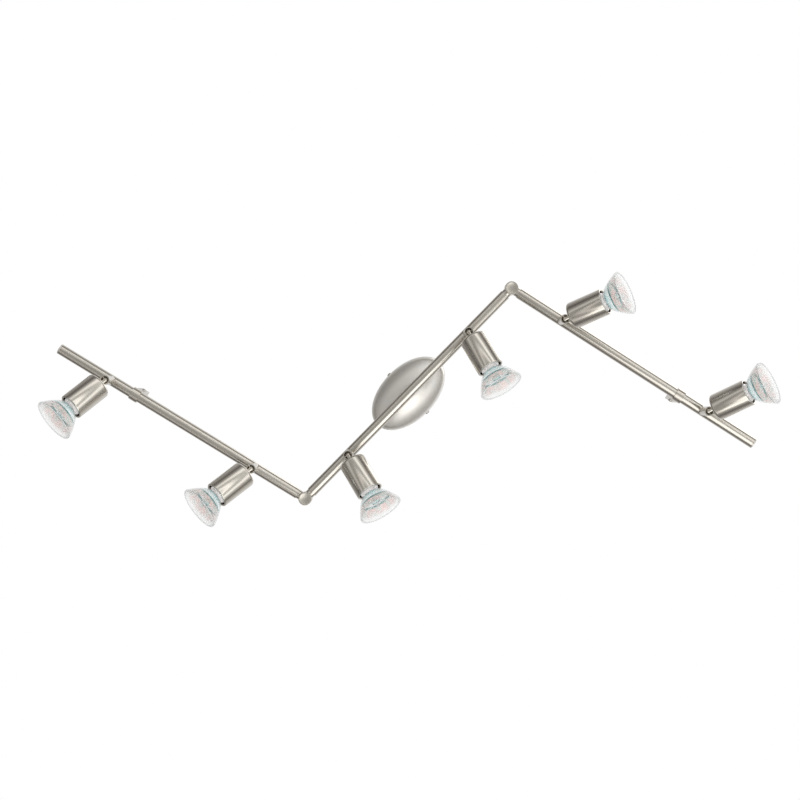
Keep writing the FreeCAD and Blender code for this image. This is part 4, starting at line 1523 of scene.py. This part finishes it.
    def build(self) -> None:
        """Make the whole lamp."""
        self.draw_glass()
        self.draw_film()
        self.draw_lens()
        self.draw_foot()
        self.draw_burner()
        self.draw_filament()


# --- studio ------------------------------------------------------------------------
@dataclass(frozen=True)
class SoftBox:
    """A square soft light that faces the rail.

    Attributes:
        name: The light's name.
        place: Metres to the view's right, up, and below the ceiling.
        size: Side of the light in metres.
        watts: Its power.
    """

    name: str
    place: tuple[float, float, float]
    size: float
    watts: float


@dataclass
class Studio:
    """Camera, soft light, white surroundings and a pale floor far below.

    Attributes:
        distance: Camera to ceiling, in metres.
        roll: Turn of the camera about its line of sight, in degrees.
        lens: Focal length in millimetres.
        sensor: Width of the sensor in millimetres.
        shift: How far the rail's middle sits from the view's, as shares of its width.
        floor_level: Height of the floor in metres.
        floor_size: Side of the floor in metres.
        floor_colour: The floor's linear colour.
        white: Strength of the plain white surroundings.
        window_side: The brighter side of the surroundings, to the view's right and up.
        rail_level: Height that the lights face, in metres.
        boxes: The soft lights.
    """

    distance: float = 1.75
    roll: float = 45.57
    lens: float = 67.4
    sensor: float = 36.0
    shift: tuple[float, float] = (-0.0105, -0.0083)
    floor_level: float = -2.6
    floor_size: float = 240.0
    floor_colour: tuple[float, float, float] = (0.93, 0.93, 0.92)
    white: float = 1.0
    window_side: tuple[float, float] = (0.97, 0.24)
    rail_level: float = -0.05
    boxes: tuple[SoftBox, ...] = (SoftBox("key_box", (0.30, -0.72, 1.0), 1.0, 3.9),
                                  SoftBox("room_light", (1.6, 1.2, -1.8), 2.0, 14.0))

    def axes(self) -> tuple[Vector, Vector]:
        """Work out the view's directions from the camera's roll.

        Returns:
            Its rightward and upward directions.
        """
        angle = math.radians(self.roll)
        right = Vector((math.cos(angle), math.sin(angle), 0.0))
        up = Vector((math.sin(angle), -math.cos(angle), 0.0))
        return right, up

    def set_camera(self) -> None:
        """A camera straight below the cup, looking up."""
        right, up = self.axes()
        data = bpy.data.cameras.new("view_from_below")
        data.lens = self.lens
        data.sensor_width = self.sensor
        data.shift_x, data.shift_y = self.shift
        data.dof.use_dof = False
        camera = bpy.data.objects.new("view_from_below", data)
        turn = Matrix((right, up, Vector((0.0, 0.0, -1.0)))).transposed().to_4x4()
        camera.matrix_world = Matrix.Translation((0.0, 0.0, -self.distance)) @ turn
        bpy.context.scene.collection.objects.link(camera)
        bpy.context.scene.camera = camera

    def hang(self, box: SoftBox) -> None:
        """Add a soft light that the camera doesn't see.

        Args:
            box: The light.
        """
        right, up = self.axes()
        data = bpy.data.lights.new(box.name, "AREA")
        data.shape = "SQUARE"
        data.size = box.size
        data.energy = box.watts
        light = bpy.data.objects.new(box.name, data)
        rightward, upward, below = box.place
        light.location = right * rightward + up * upward - Vector((0.0, 0.0, below))
        sight = Vector((0.0, 0.0, self.rail_level)) - light.location
        light.rotation_mode = "QUATERNION"
        light.rotation_quaternion = sight.to_track_quat("-Z", "Y")
        light.visible_camera = False
        bpy.context.scene.collection.objects.link(light)

    def mirrored_tone(self, bench: NodeBench) -> bpy.types.NodeSocket:
        """Tones for the metal to mirror: dark level bands, light above and below.

        Args:
            bench: The world's node bench.

        Returns:
            The colour output.
        """
        right, up = self.axes()
        way = bench.add("TexCoord").outputs["Generated"]
        below = bench.add("VectorMath", {0: way, 1: (0.0, 0.0, -1.0)}, operation="DOT_PRODUCT")
        window = right * self.window_side[0] + up * self.window_side[1]
        aside = bench.add("VectorMath", {0: way, 1: tuple(window)}, operation="DOT_PRODUCT")
        depth = bench.ramp(bench.scaled(below.outputs["Value"], -1.0, 1.0, 0.0, 1.0), (
            (0.00, (0.85, 0.85, 0.85)), (0.12, (0.70, 0.70, 0.70)), (0.26, (0.48, 0.47, 0.46)),
            (0.38, (0.30, 0.29, 0.28)), (0.45, (0.13, 0.12, 0.11)), (0.51, (0.08, 0.07, 0.06)),
            (0.57, (0.28, 0.27, 0.26)), (0.66, (0.48, 0.48, 0.47)), (0.71, (1.10, 1.10, 1.10)),
            (0.77, (1.20, 1.20, 1.20)), (0.80, (0.42, 0.42, 0.41)), (0.855, (0.46, 0.46, 0.45)),
            (0.868, (1.50, 1.50, 1.50)), (0.885, (1.50, 1.50, 1.50)), (0.90, (0.52, 0.52, 0.51)),
            (1.00, (0.47, 0.47, 0.46))))
        across = bench.ramp(bench.scaled(aside.outputs["Value"], -1.0, 1.0, 0.0, 1.0), (
            (0.00, (0.55, 0.54, 0.53)), (0.34, (0.74, 0.73, 0.72)), (0.52, (0.98, 0.98, 0.98)),
            (0.68, (1.30, 1.30, 1.30)), (0.82, (1.50, 1.50, 1.50)), (1.00, (1.30, 1.30, 1.30))))
        graded = bench.add("Mix", data_type="RGBA", blend_type="MULTIPLY")
        for socket, value in ((0, 1.0), (6, depth), (7, across)):
            bench.feed(graded.inputs[socket], value)
        return graded.outputs[2]

    def set_world(self) -> None:
        """White surroundings to look at, and a graded soft box for the metal to mirror."""
        world = bpy.data.worlds.new("soft_box")
        bpy.context.scene.world = world
        world.use_nodes = True
        bench = NodeBench(world.node_tree)
        bench.tree.nodes.clear()
        tone = self.mirrored_tone(bench)
        mirrored = bench.add("Background", {"Color": tone, "Strength": 1.0})
        seen = bench.add("Background", {"Color": toned((1.0, 1.0, 1.0)),
                                        "Strength": self.white})
        path = bench.add("LightPath")
        plain = path.outputs["Is Camera Ray"]
        for kind in ("Is Transmission Ray", "Is Diffuse Ray"):
            plain = bench.add("Math", {0: plain, 1: path.outputs[kind]},
                              operation="MAXIMUM").outputs[0]
        mixed = bench.add("MixShader", {0: plain, 1: mirrored.outputs[0], 2: seen.outputs[0]})
        bench.add("OutputWorld", {"Surface": mixed.outputs[0]})

    def lay_floor(self) -> None:
        """A pale floor far below, which the metal doesn't mirror."""
        grid = bmesh.new()
        bmesh.ops.create_grid(grid, x_segments=1, y_segments=1, size=self.floor_size / 2)
        bmesh.ops.translate(grid, verts=grid.verts[:], vec=(0, 0, self.floor_level))
        mesh = bpy.data.meshes.new("pale_floor")
        grid.to_mesh(mesh)
        grid.free()
        floor = bpy.data.objects.new("pale_floor", mesh)
        bpy.context.scene.collection.objects.link(floor)
        material = bpy.data.materials.new("pale_floor")
        material.use_nodes = True
        shader = material.node_tree.nodes["Principled BSDF"]
        shader.inputs["Base Color"].default_value = toned(self.floor_colour)
        shader.inputs["Roughness"].default_value = 0.9
        mesh.materials.append(material)
        floor.visible_glossy = False

    def build(self) -> None:
        """Set up the whole studio."""
        bpy.context.scene.view_settings.view_transform = "Standard"
        self.set_camera()
        self.set_world()
        self.lay_floor()
        for box in self.boxes:
            self.hang(box)


def main() -> None:
    """Build every sub-assembly in order, then the studio."""
    logging.basicConfig(level=logging.INFO, format="%(name)s: %(message)s")
    CeilingCup().build()
    CentreTube().build()
    for side in Side:
        Arm(side).build()
        SideSupport(side).build()
    for number in range(1, 7):
        Swivel(number).build()
        SpotHead(number).build()
        ReflectorLamp(number).build()
    Studio().build()


if __name__ == "__main__":
    main()
